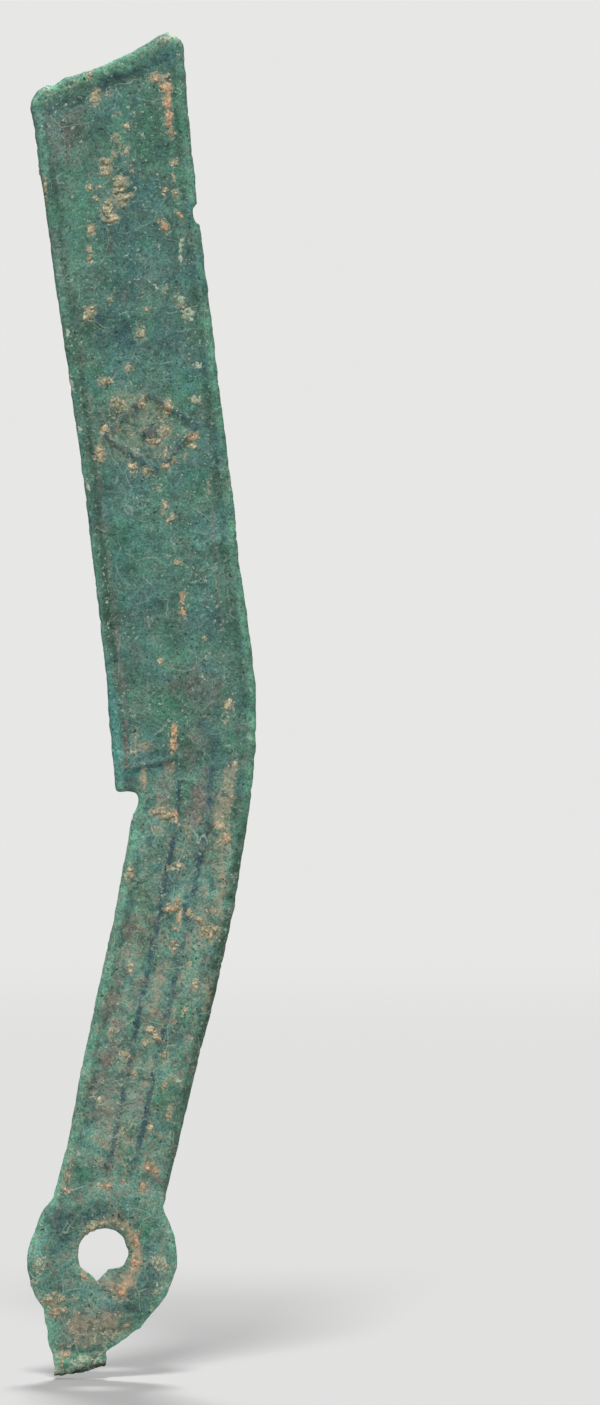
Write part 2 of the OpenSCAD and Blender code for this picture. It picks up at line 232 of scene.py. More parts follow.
# The ribs were drawn in the mould by hand: the obverse's bow to the back, the reverse's away
rib_heights = [6, 12, 24, 34, 46, 54]
rib_shifts = [0, 0.6, 0.65, 0.9, 0.9, 0]
bow = np.interp(up_handle, rib_heights, rib_shifts) * np.where(side < 0, 1, -0.5)
points[:, 0] += bow * eased(from_outline, 0.8, 3.6)

# The blade's tip: the metal rolls over in a bead, with a groove under it, and its
# edge is wavy where the mould filled badly. A nick is broken from the back.
bead_height, groove_depth, middle_depth = 0.2, 0.05, 0.16
edge_reach, back_reach = 7.9, 8.2
within_rims = eased(np.minimum(over_blade + edge_reach, back_reach - over_blade), 0.6, 1.8)
bead = bead_height * hump(under_tip, 1.0, 1.5)
groove = hump(under_tip, 2.6, 1.2) * within_rims * (groove_depth + middle_depth * hump(over_blade, -0.5, 6.0))
points[:, 1] += side * (bead - groove)
tip_places = [-8.2, -7.0, -6.4, -5.4, -4.2, -3.2, -2.0, 0, 2, 4, 5.2, 6.0, 6.8, 7.5, 8.2]
tip_shifts = [-0.1, 0.15, 0.3, 0.0, 0.32, 0.12, 0.1, 0.0, 0.08, 0.2, 0.42, 0.6, 0.55, 0.0, -0.3]
points[:, 2] += np.interp(over_blade, tip_places, tip_shifts) * faded(under_tip, 0.3, 3.0)


def bite(x, z, clear, depth, reach):
    # Presses the outline back from a place that lies clear of it, by a depth.
    away = plan - (x, z)
    distance = np.hypot(away[:, 0], away[:, 1])
    press = depth * faded(distance, clear, reach) / np.maximum(distance, 1e-6)
    points[:, 0] += away[:, 0] * press
    points[:, 2] += away[:, 1] * press


bite(10.5, 108.6, clear=0.55, depth=0.52, reach=1.25)
bite(10.3, 109.0, clear=0.35, depth=0.14, reach=0.8)
# The heel's inner corner is cut in sharply
bite(3.1, 47.2, clear=0.6, depth=0.3, reach=1.8)

# The hole was left rough: a thin flash of metal closes its lower right, with a sharp
# notch beside it.
hole_radius, flash_thinning = 2.7, 0.6
hole_angles = [0, 8.5, 20, 40, 80, 100, 132, 180, 209, 233, 250, 258, 266, 275, 292, 312, 331, 350, 360]
hole_reach = [
    2.67, 2.75, 2.62, 2.8, 2.68, 2.6, 2.66, 2.54, 2.7, 2.48,
    2.6, 2.92, 2.4, 2.06, 1.66, 2.0, 2.43, 2.56, 2.67,
]


def spread(shift):
    # Moves every point out from the middle of the hole by a shift.
    for axis in (0, 2):
        points[:, axis] += points[:, axis] / np.maximum(from_hole, 1e-6) * shift


wanted = np.interp(around_hole, hole_angles, hole_reach)
spread((wanted - hole_radius) * faded(from_hole, hole_radius, 4.6))
flash = hump(around_hole, 294, 36) * faded(from_hole, hole_radius, 3.6)
points[:, 1] *= 1 - flash_thinning * flash

# The ring is out of round, because the mould was cut by hand, and its rim was never
# filed after the casting.
ring_angles = [
    0, 20, 35, 50, 110, 128, 140, 162, 180, 204, 214, 223, 232, 239, 244, 248, 256, 285, 296, 306, 320, 360,
]
ring_shifts = [
    0.08, 0, 0.15, 0, 0, 0.2, 0.05, -0.25, 0.1, 0.45, 0.2,
    -0.25, 0, 0, -0.2, -0.3, 0, 0, 0.5, 0.4, 0.2, 0.08,
]
out_of_round = np.interp(around_hole, ring_angles, ring_shifts) * eased(from_hole, 5, 7.4)
spread(out_of_round * faded(up_handle, 7, 9))

# The gate, where the bronze ran into the mould: its stub stands proud in a bead below
# the neck, and the sprue broke off it ragged and at a slant.
gate_down, gate_over = -(plan @ handle_up), plan @ handle_over
stub_width, neck_length, neck_slant, stub_length, break_slant = 5.5, 10.8, 1.4, 1.9, 2.5
stub_bead, neck_dip, tear_height, break_lean = 0.14, 0.10, 0.22, 0.7
past_neck = gate_down - (neck_length - neck_slant * gate_over / stub_width)
before_break = neck_length + stub_length - break_slant * gate_over / stub_width - gate_down
in_gate = eased(gate_down, 8.5, 9.5)
stub = stub_bead * hump(past_neck, 0.9, 0.9) - neck_dip * hump(past_neck, -0.5, 0.6)
points[:, 1] += side * in_gate * eased(from_outline, 0.1, 0.7) * stub
broken = faded(before_break + 0.25 * lumps(points, 0.8, 32), 0.2, 0.7) * in_gate
points[:, 2] += faded(before_break, 0.1, 0.9) * in_gate * tear_height * lumps(points, 0.9, 31)
points[:, 0] += break_lean * faded(before_break, 0, 2.4) * in_gate * eased(-gate_over, -0.5, 2.5)
gate_heights = [-13, -12.3, -11.6, -10.9, -10.1, -9.6, -9.1, -8.6, -7.8, -7]
left_shifts = [-0.2, -0.22, -0.05, 0, -0.15, -0.26, -0.18, -0.08, 0.06, 0]
right_shifts = [0.05, 0.05, 0.1, 0.05, -0.45, -0.15, 0.05, 0.3, 0.15, 0]
left_wander = np.interp(points[:, 2], gate_heights, left_shifts)
right_wander = np.interp(points[:, 2], gate_heights, right_shifts)
points[:, 0] += np.where(gate_over < 0, left_wander, right_wander) * eased(np.abs(gate_over), 0.5, 2.2)

# Casting skin and corrosion: an uneven outline, the same through the thickness, then
# uneven faces with small bumps and pits.
outline_swell, pit_depth, full_hollow = 0.06, 0.07, 0.05
flat = points * [1, 0, 1]
points[:, 0] += outline_swell * lumps(flat, 1.3, 12)
points[:, 2] += outline_swell * lumps(flat, 1.3, 14)
facing = outward(points)
swell = 0.06 * lumps(points, 4.5, 21) + 0.05 * lumps(points, 1.4, 22) + 0.02 * lumps(points, 0.6, 23, 2)
pitting = eased(lumps(points, 0.9, 24, 2), 0.35, 0.75)
points += facing * (swell - pit_depth * pitting)[:, None]
facing = outward(points)
# Painted shade: how deep each point lies in a hollow, so the colour can be darkened there
depth = (relaxed(points, 8) - points) * facing
hollow_shade = np.clip(depth.sum(axis=1) / full_hollow, -1, 1)

# Burial earth: crusts of clay and lime grown onto the bronze in lumps, each given by
# its place, half length, half width, height, warmth of colour and, if turned, its turn in degrees.
obverse_earth = [
    (5.8, 122.7, 0.5, 1, 0.14, 0.6), (6.7, 121.7, 0.8, 0.5, 0.14, 0.8),
    (6.8, 120.3, 0.9, 0.4, 0.12, 0.9, -5), (6.9, 118.6, 1, 0.4, 0.12, 0.8, -5),
    (7.2, 117.1, 0.5, 0.3, 0.1, 0.7, -5), (-0.7, 120.8, 0.9, 0.6, 0.1, 0.3, 20),
    (-1.3, 122.9, 0.4, 0.3, 0.1, 0.3), (0.7, 121, 0.3, 0.3, 0.08, 0.5),
    (1.6, 118.9, 0.4, 0.3, 0.08, 0.2, 30), (2.5, 117.6, 0.3, 0.3, 0.12, 0.2),
    (1.4, 116.6, 0.5, 0.3, 0.12, 0.1, 10), (1.9, 115.7, 0.4, 0.4, 0.12, 0.1),
    (2.5, 115.3, 0.5, 0.4, 0.14, 0.2), (1.2, 114.7, 0.4, 0.3, 0.12, 0.1), (0.3, 113.9, 0.6, 0.5, 0.2, 0.3),
    (0.5, 113.1, 0.6, 0.5, 0.18, 0.1), (1.9, 111.8, 0.6, 0.7, 0.24, 0.2), (1.7, 111.1, 0.5, 0.6, 0.2, 0.2),
    (2, 110.1, 0.7, 0.6, 0.22, 0.15, -20), (2.8, 110.5, 0.3, 0.3, 0.14, 0.1),
    (0.7, 109.7, 0.5, 0.4, 0.18, 0.2, 10), (0.5, 108.7, 0.8, 0.7, 0.26, 0.1, -20),
    (1.1, 108.1, 0.5, 0.5, 0.22, 0.15, -30), (-1.3, 111.3, 0.4, 0.3, 0.12, 0.2),
    (-0.4, 111.3, 0.2, 0.3, 0.1, 0.2), (-0.6, 110.1, 0.3, 0.2, 0.14, 0.2, -20),
    (6.5, 107.3, 0.7, 0.4, 0.16, 1, -35), (8.1, 108.4, 0.5, 0.2, 0.1, 0.8, -45),
    (-1.1, 106.9, 0.6, 0.4, 0.18, 0.5, 20), (-1.3, 104.8, 0.5, 0.3, 0.16, 0.2),
    (-1.3, 103.9, 0.4, 0.3, 0.14, 0.4), (6.5, 111, 0.4, 0.2, 0.12, 0.4, 10),
    (7.7, 110.7, 0.3, 0.3, 0.12, 0.3), (7.4, 113.9, 0.4, 0.3, 0.12, 0.3, 40),
    (-5.9, 111.3, 1.1, 0.2, 0.1, 0.4, -3), (3, 113, 0.3, 0.2, 0.1, 0.2), (7.3, 112.4, 0.3, 0.3, 0.08, 0.3),
    (6.9, 126.8, 0.5, 0.9, 0.05, 0.2), (-1.4, 98.3, 0.8, 0.6, 0.18, 0.2, 10),
    (-1.9, 97.7, 0.4, 0.3, 0.14, 0.2), (4, 96.2, 0.5, 0.5, 0.14, 0.3), (6.5, 100.6, 0.4, 0.3, 0.12, 0.2),
    (8.1, 99.4, 0.6, 0.4, 0.14, -0.9, -10), (8.8, 98, 0.5, 0.4, 0.14, -0.8),
    (4.5, 98.6, 0.3, 0.3, 0.1, 0.2), (0.8, 99.6, 0.3, 0.3, 0.1, 0.1), (2.7, 92.5, 0.3, 0.4, 0.12, 0.3),
    (0.2, 91.1, 0.5, 0.6, 0.14, 0.3), (1.5, 88.7, 0.7, 0.6, 0.18, 0.4, 10),
    (2.3, 88.6, 0.4, 0.3, 0.12, 0.4), (4.2, 88.9, 0.7, 0.4, 0.18, 0.4, 15),
    (6.8, 88.3, 0.9, 0.4, 0.18, 0.5, 15), (9.7, 89.2, 0.4, 0.5, 0.1, -0.6),
    (0.3, 86.1, 0.4, 0.4, 0.14, 0.5), (2, 86.3, 0.3, 0.8, 0.08, 0.3), (6.6, 85.8, 0.6, 0.6, 0.18, 0.4, -20),
    (5.3, 84.8, 0.3, 0.6, 0.14, 0.4), (9.4, 85.2, 0.6, 0.5, 0.18, 0.5), (9.3, 84.3, 0.3, 0.6, 0.14, 0.3),
    (-0.3, 83.5, 0.9, 0.5, 0.14, 0.5), (-0.2, 82.9, 0.3, 0.3, 0.16, 0.6),
    (3.2, 82.2, 0.5, 0.5, 0.16, 0.3, -20), (4.6, 81.7, 0.4, 0.5, 0.12, 0.3),
    (6.5, 83.4, 0.4, 0.2, 0.12, 0.4), (6.4, 82.2, 0.3, 0.5, 0.12, 0.4),
    (8.7, 83.3, 0.4, 0.2, 0.12, 0.4, 10), (7.5, 82.9, 0.3, 0.2, 0.1, 0.4),
    (6.5, 78, 0.7, 0.3, 0.14, 0.2, 10), (7.2, 76.8, 0.6, 0.3, 0.14, 0.2, 40),
    (5.8, 80, 0.4, 0.3, 0.08, 0.7, -20), (11.1, 79.9, 0.5, 0.2, 0.08, 0.7, 10),
    (13.2, 80.4, 0.6, 0.3, 0.08, -0.6, 5), (7.9, 72.2, 0.3, 0.4, 0.1, 0.3),
    (8.3, 68.5, 0.6, 0.3, 0.12, 0.9), (8.4, 67, 0.5, 0.3, 0.12, 1), (4.8, 65.8, 0.3, 0.3, 0.08, 0.4),
    (6, 62, 0.3, 0.3, 0.1, 0.4), (10.7, 64.1, 0.3, 0.2, 0.1, 0.4), (7.5, 54.6, 0.8, 0.3, 0.16, 0.9, 5),
    (7.4, 53.2, 0.7, 0.4, 0.18, 0.8, 5), (4.5, 53, 0.4, 0.9, 0.06, 0.3), (4.2, 50.1, 1, 0.3, 0.06, 0.9, 10),
    (7.2, 50.9, 0.4, 0.6, 0.08, 0.6, -20), (3.2, 52.4, 0.3, 0.4, 0.08, 0.3),
    (13.1, 57.3, 0.6, 0.4, 0.1, 0.3), (12.9, 56, 0.6, 0.3, 0.08, 0.3), (13.9, 51.2, 0.4, 0.3, 0.1, 0.4),
    (6, 46.2, 0.4, 0.9, 0.2, 0.4), (6.7, 45.8, 0.4, 0.9, 0.2, 0.4), (7.6, 45.8, 0.6, 0.3, 0.18, 0.7, -10),
    (7.7, 45.2, 0.3, 0.3, 0.16, 0.3), (5.9, 44.3, 0.3, 0.4, 0.14, 0.6), (9, 44.2, 0.4, 0.4, 0.16, 0.2),
    (10.3, 45.5, 0.7, 0.3, 0.08, 0.3, 10), (13.1, 49.5, 0.8, 0.5, 0.07, 0.3, 10),
    (13, 47.7, 0.8, 0.6, 0.07, 0.4, 10), (12.7, 46.1, 0.9, 0.6, 0.08, 0.2, 10),
    (12.3, 44.9, 0.7, 0.7, 0.1, 0.3, 10), (12.8, 43.4, 0.7, 0.6, 0.14, 0.6, 10),
    (12.5, 41.3, 1.1, 0.4, 0.08, 0.3, 10), (12.3, 39, 1.1, 0.4, 0.08, 0.2, 10),
    (12.1, 37, 1, 0.4, 0.08, 0.3, 10), (11.8, 35.9, 0.4, 0.5, 0.12, 0.5),
    (2.9, 39.7, 0.6, 0.4, 0.14, 0.2, 20), (7.9, 40.5, 0.3, 0.7, 0.14, 0.3, 15),
    (6.9, 40.2, 0.3, 0.3, 0.12, 0.2), (7.2, 36, 0.4, 0.8, 0.18, 0.6, 10), (7.9, 36.7, 0.9, 0.2, 0.12, 0.6),
    (8, 35.1, 1, 0.3, 0.12, 0.5, 5), (7.6, 34.1, 0.3, 0.4, 0.14, 0.6),
    (9.3, 35.5, 0.6, 0.4, 0.16, 0.4, -35), (10.2, 34.8, 0.4, 0.4, 0.14, 0.4, -30),
    (11, 33.5, 0.6, 0.7, 0.2, 0.4, 30), (11.6, 34, 0.4, 0.6, 0.18, 0.4, 10),
    (7.3, 32.5, 0.4, 0.5, 0.16, 0.5, 15), (7.5, 31.7, 0.4, 0.2, 0.12, 0.5), (3, 30, 0.6, 0.3, 0.1, 0.3, 10),
    (9.7, 28.1, 0.5, 0.3, 0.12, 0.4, 10), (2.1, 31.4, 0.3, 0.3, 0.08, 0.4), (9.1, 30.2, 0.4, 0.3, 0.1, 0.4),
    (8.6, 25.5, 0.5, 0.3, 0.1, 0.4, 10), (5, 23.4, 0.5, 0.4, 0.16, 0.3), (5.6, 22.6, 0.5, 0.5, 0.16, 0.4),
    (4.5, 22.1, 0.4, 0.4, 0.14, 0.2), (2.3, 20.8, 0.5, 0.4, 0.14, 0.4),
    (6.5, 20.8, 0.6, 0.3, 0.14, 0.4, 10), (3.4, 19, 0.4, 0.3, 0.1, 0.3), (1, 23.4, 0.4, 0.3, 0.1, 0.3),
    (7, 14.8, 0.7, 0.3, 0.14, 0.5, 10), (6.5, 17.6, 0.5, 0.3, 0.1, 0.4, 10),
    (-0.3, 16.1, 0.4, 0.3, 0.1, 0.3, 10), (5, 13.2, 0.5, 0.3, 0.1, 0.4), (2, 12.9, 0.4, 0.3, 0.1, 0.3),
    (5, 9.1, 0.5, 0.7, 0.16, 0.9), (5.6, 8.6, 0.4, 0.4, 0.14, 0.8), (0.5, 7.1, 0.3, 0.4, 0.14, 0.8),
    (-0.4, 7.2, 0.3, 0.2, 0.1, 0.4), (2.2, 7.7, 0.5, 0.2, 0.14, 0.7, 10), (4.3, 7, 0.5, 0.4, 0.12, 0.8),
    (5, 6.4, 0.3, 0.4, 0.08, 0.5), (-3.7, 7.9, 0.8, 0.4, 0.14, 0.1, 10),
    (-3.8, 6.8, 0.5, 0.3, 0.16, 0.8, -40), (-3.3, 9.3, 0.5, 0.2, 0.1, 0.4, 5),
    (-1.6, 9.3, 0.2, 0.6, 0.08, 0.3), (-0.2, 3.2, 0.3, 0.8, 0.12, -0.5, 10),
    (-1.1, 2.7, 0.3, 0.6, 0.12, -0.6, 35), (-1.7, 2.2, 0.4, 0.2, 0.1, 0.2, -40),
    (1.9, 3.9, 0.5, 0.7, 0.06, 0.7, 20), (2.6, 3.1, 0.5, 0.5, 0.06, 0.7, -40),
    (3.5, 1.5, 0.7, 0.4, 0.14, 0.9, 10), (3.8, 0.5, 0.7, 0.4, 0.08, 0.8, -5),
    (3.5, -0.8, 0.8, 0.4, 0.16, 0.9, -5), (3.3, -2, 0.6, 0.4, 0.08, 0.8, -15),
    (2.8, -2.8, 0.6, 0.5, 0.08, 0.8, -30), (2.1, -3.9, 0.8, 0.5, 0.18, 0.9, -40),
    (1.6, -4.5, 0.4, 0.4, 0.08, 0.8, -40), (0.3, -3.2, 0.4, 0.6, 0.08, 0.7),
    (-1.9, -2.2, 0.4, 0.3, 0.1, 0.6, -30), (-6.7, -1, 0.7, 0.5, 0.1, -1), (-6.4, -1.5, 0.3, 0.5, 0.12, -1),
    (6, -0.8, 0.6, 0.6, 0.12, -0.6), (6.7, -1.4, 0.4, 0.3, 0.1, 0.2), (5.7, -3.8, 0.2, 0.7, 0.08, 0.1, -20),
    (-5.5, -4.7, 0.5, 0.9, 0.14, 0.2, -20), (-4.4, -4.5, 0.5, 0.5, 0.1, 0.2), (-5, -6, 0.6, 0.5, 0.14, 0.5),
    (-4.2, -5.7, 0.4, 0.5, 0.1, 0.4), (-2.9, -4.5, 0.4, 0.4, 0.08, 0.2), (0.3, -8.4, 0.5, 0.8, 0.06, 0.6),
    (2.5, -7.4, 0.3, 0.4, 0.12, 0.5, -20), (-3.4, -7.9, 0.6, 0.8, 0.05, 0.4),
    (-3.9, -10.5, 0.3, 0.6, 0.1, 0.7), (-4.2, -11.2, 0.5, 0.2, 0.1, 0.5), (-1.9, -10.9, 0.4, 0.8, 0.1, -1),
    (-0.2, -10.4, 0.2, 0.4, 0.1, 0.2), (-2.3, -11.6, 0.3, 0.7, 0.1, -1),
]
reverse_earth = [
    (5.1, 126.5, 0.5, 0.8, 0.05, 0.2), (4.3, 113.7, 0.8, 0.6, 0.2, 0.2), (3.9, 114.4, 0.4, 0.4, 0.16, 0.2),
    (-4, 120.2, 0.6, 0.5, 0.16, 0.3), (-0.7, 117.1, 0.5, 0.6, 0.16, 0.3),
    (-4.9, 114.2, 0.8, 0.5, 0.18, 0.3, -10), (-6.9, 113.2, 0.7, 0.3, 0.12, 0.3, -5),
    (-4.1, 112.6, 0.6, 0.5, 0.18, 0.2), (5.6, 110, 0.6, 0.4, 0.14, 0.3), (5.4, 107.7, 0.6, 0.4, 0.14, 0.3),
    (-2.2, 109, 0.6, 0.6, 0.16, 0.2), (-0.7, 106.4, 0.6, 0.5, 0.16, 0.3),
    (-3.8, 106.4, 0.6, 0.4, 0.14, 0.3), (1.1, 105.3, 0.5, 0.4, 0.14, 0.3),
    (1.9, 102.7, 0.5, 0.4, 0.14, 0.3), (-2.6, 98.3, 0.5, 0.4, 0.14, 0.3),
    (0.4, 94.9, 1, 0.8, 0.24, 0.2, -15), (0.9, 94.2, 0.6, 0.6, 0.2, 0.2), (-0.2, 93.8, 0.6, 0.6, 0.2, 0.3),
    (8.2, 94.9, 0.6, 0.4, 0.12, 0.4), (7.2, 92.6, 0.6, 0.4, 0.14, 0.3), (-1.2, 92.8, 0.5, 0.4, 0.14, 0.3),
    (1.7, 93.3, 0.4, 0.4, 0.14, 0.2), (3.5, 85, 0.7, 0.6, 0.2, 0.3), (4.3, 82.9, 0.8, 0.5, 0.2, 0.2, -10),
    (4, 81.3, 0.5, 0.7, 0.2, 0.3), (3, 83.4, 0.5, 0.4, 0.16, 0.3), (5.1, 79.8, 0.5, 0.4, 0.16, 0.3),
    (6.9, 88.3, 0.5, 0.4, 0.12, 0.4), (-0.2, 87.1, 0.5, 0.3, 0.12, 0.4), (0.9, 70.4, 0.6, 0.4, 0.12, 0.3),
    (0.7, 67.8, 0.5, 0.4, 0.12, 0.3), (10.8, 66.2, 0.5, 0.4, 0.1, 0.4), (11, 63.1, 0.5, 0.5, 0.12, 0.3),
    (2.5, 64.1, 0.4, 0.4, 0.1, 0.4), (7.2, 58.9, 0.5, 0.4, 0.1, 0.4), (4, 57.8, 0.4, 0.4, 0.1, 0.4),
    (1.1, 62, 0.5, 0.3, 0.1, 0.3), (10.7, 47.7, 0.9, 0.8, 0.26, 0.2), (10.2, 47.1, 0.5, 0.5, 0.2, 0.2),
    (9.8, 40.6, 0.6, 0.4, 0.14, 0.4), (7.3, 39.3, 0.6, 0.4, 0.14, 0.4), (4, 38.5, 1, 0.6, 0.22, 0.3, 10),
    (3.5, 37, 0.6, 0.4, 0.18, 0.3, 10), (3.3, 34.3, 0.9, 0.3, 0.14, 0.3, 10),
    (2.8, 31.9, 0.9, 0.3, 0.14, 0.4, 10), (9.1, 33.8, 0.8, 0.3, 0.12, 0.3, 8),
    (8.7, 31.2, 0.9, 0.3, 0.12, 0.3, 8), (5.6, 30.2, 0.5, 0.4, 0.14, 0.3), (4, 23.9, 0.6, 0.4, 0.14, 0.3),
    (6.4, 19.7, 0.6, 0.5, 0.14, 0.4), (-0.2, 26, 0.5, 0.4, 0.12, 0.3), (-0.2, 10.9, 0.6, 0.4, 0.12, 0.4),
    (5.1, 15, 0.5, 0.4, 0.1, 0.4), (2.5, 17.1, 0.5, 0.3, 0.1, 0.4), (8.2, 26.5, 0.5, 0.3, 0.1, 0.4),
    (1.7, 20.3, 0.5, 0.3, 0.1, 0.4, 10), (4.5, 9.3, 0.4, 0.5, 0.12, 0.5), (-2.2, 7.7, 0.5, 0.3, 0.1, 0.4),
    (5.8, 31.7, 0.8, 0.35, 0.16, 0.3), (5.6, 29.9, 0.9, 0.4, 0.18, 0.3),
    (5.4, 27.8, 0.7, 0.3, 0.14, 0.3, 10), (3.5, 33.6, 0.6, 0.4, 0.14, 0.3), (3, 31, 0.7, 0.4, 0.14, 0.3, 8),
    (8.8, 32.2, 0.8, 0.25, 0.12, 0.3), (-0.7, 10.7, 0.8, 0.4, 0.16, 0.3, 10),
    (-1.5, 8.9, 0.6, 0.35, 0.14, 0.3, 20), (2.5, 16.1, 0.7, 0.25, 0.12, 0.3, 8),
    (7.4, 12.3, 0.5, 0.3, 0.12, 0.3), (9.6, 22.2, 0.5, 0.3, 0.12, 0.3), (6.1, 5.6, 0.5, 0.8, 0.1, 0.4, -20),
    (5.3, 4, 0.5, 0.5, 0.1, 0.4, -30), (-4.9, 1.5, 0.8, 0.4, 0.14, 0.5, -8),
    (-5.3, -0.5, 0.9, 0.45, 0.14, 0.5), (-5.1, -2.4, 0.8, 0.5, 0.14, 0.5, 15),
    (-3.8, -4.3, 0.7, 0.5, 0.14, 0.6, 45), (1.4, 3.9, 0.3, 0.8, 0.1, 0.3), (4, -3.8, 0.5, 0.6, 0.08, 0.4),
    (-2.2, -9.5, 0.4, 0.7, 0.1, 0.3), (-1.2, -11.1, 0.4, 0.6, 0.1, 0.3),
]


def inside_oval(x, z, half_length, half_width, turn=0, chosen=slice(None)):
    # 1 in the middle of a turned oval, 0 on its outline and less outside, at the chosen points.
    east, north = points[chosen, 0] - x, points[chosen, 2] - z
    sine, cosine = math.sin(math.radians(turn)), math.cos(math.radians(turn))
    along = (east * sine + north * cosine) / half_length
    across = (east * cosine - north * sine) / half_width
    return 1 - np.hypot(along, across)


ragged = 0.45 * lumps(points, 1.1, 41, 2) + 0.9 * lumps(points, 0.42, 43, 3)
crust = np.full(count, -9.0)
crust_height, warmth, dust = np.zeros(count), np.zeros(count), np.zeros(count)
earth_reach, thin_film, shrunk = 4, 0.09, 0.14
for deposits, on_face in ((obverse_earth, facing[:, 1] < 0.3), (reverse_earth, facing[:, 1] > -0.3)):
    for x, z, half_length, half_width, height, warm, *turn in deposits:
        close = (np.abs(points[:, 0] - x) < earth_reach) & (np.abs(points[:, 2] - z) < earth_reach)
        near = np.flatnonzero(on_face & close)
        inside = inside_oval(x, z, half_length, half_width, *turn, chosen=near)
        halo = eased(inside * (half_length + half_width) / 2, -0.75, 0.2)
        dust[near] = np.maximum(dust[near], (0.5 + 2 * height) * halo)
        if height > thin_film:
            grown = inside - shrunk + ragged[near]
            higher = grown > crust[near]
            crust[near] = np.maximum(crust[near], grown)
            crust_height[near] = np.where(higher, height, crust_height[near])
            warmth[near] = np.where(higher, warm, warmth[near])
        else:
            tinted = warm * eased(inside, -0.9, 0.3)
            warmth[near] = np.where(tinted > 0, np.maximum(warmth[near], tinted), warmth[near])
crust_height = relaxed(crust_height, 3)
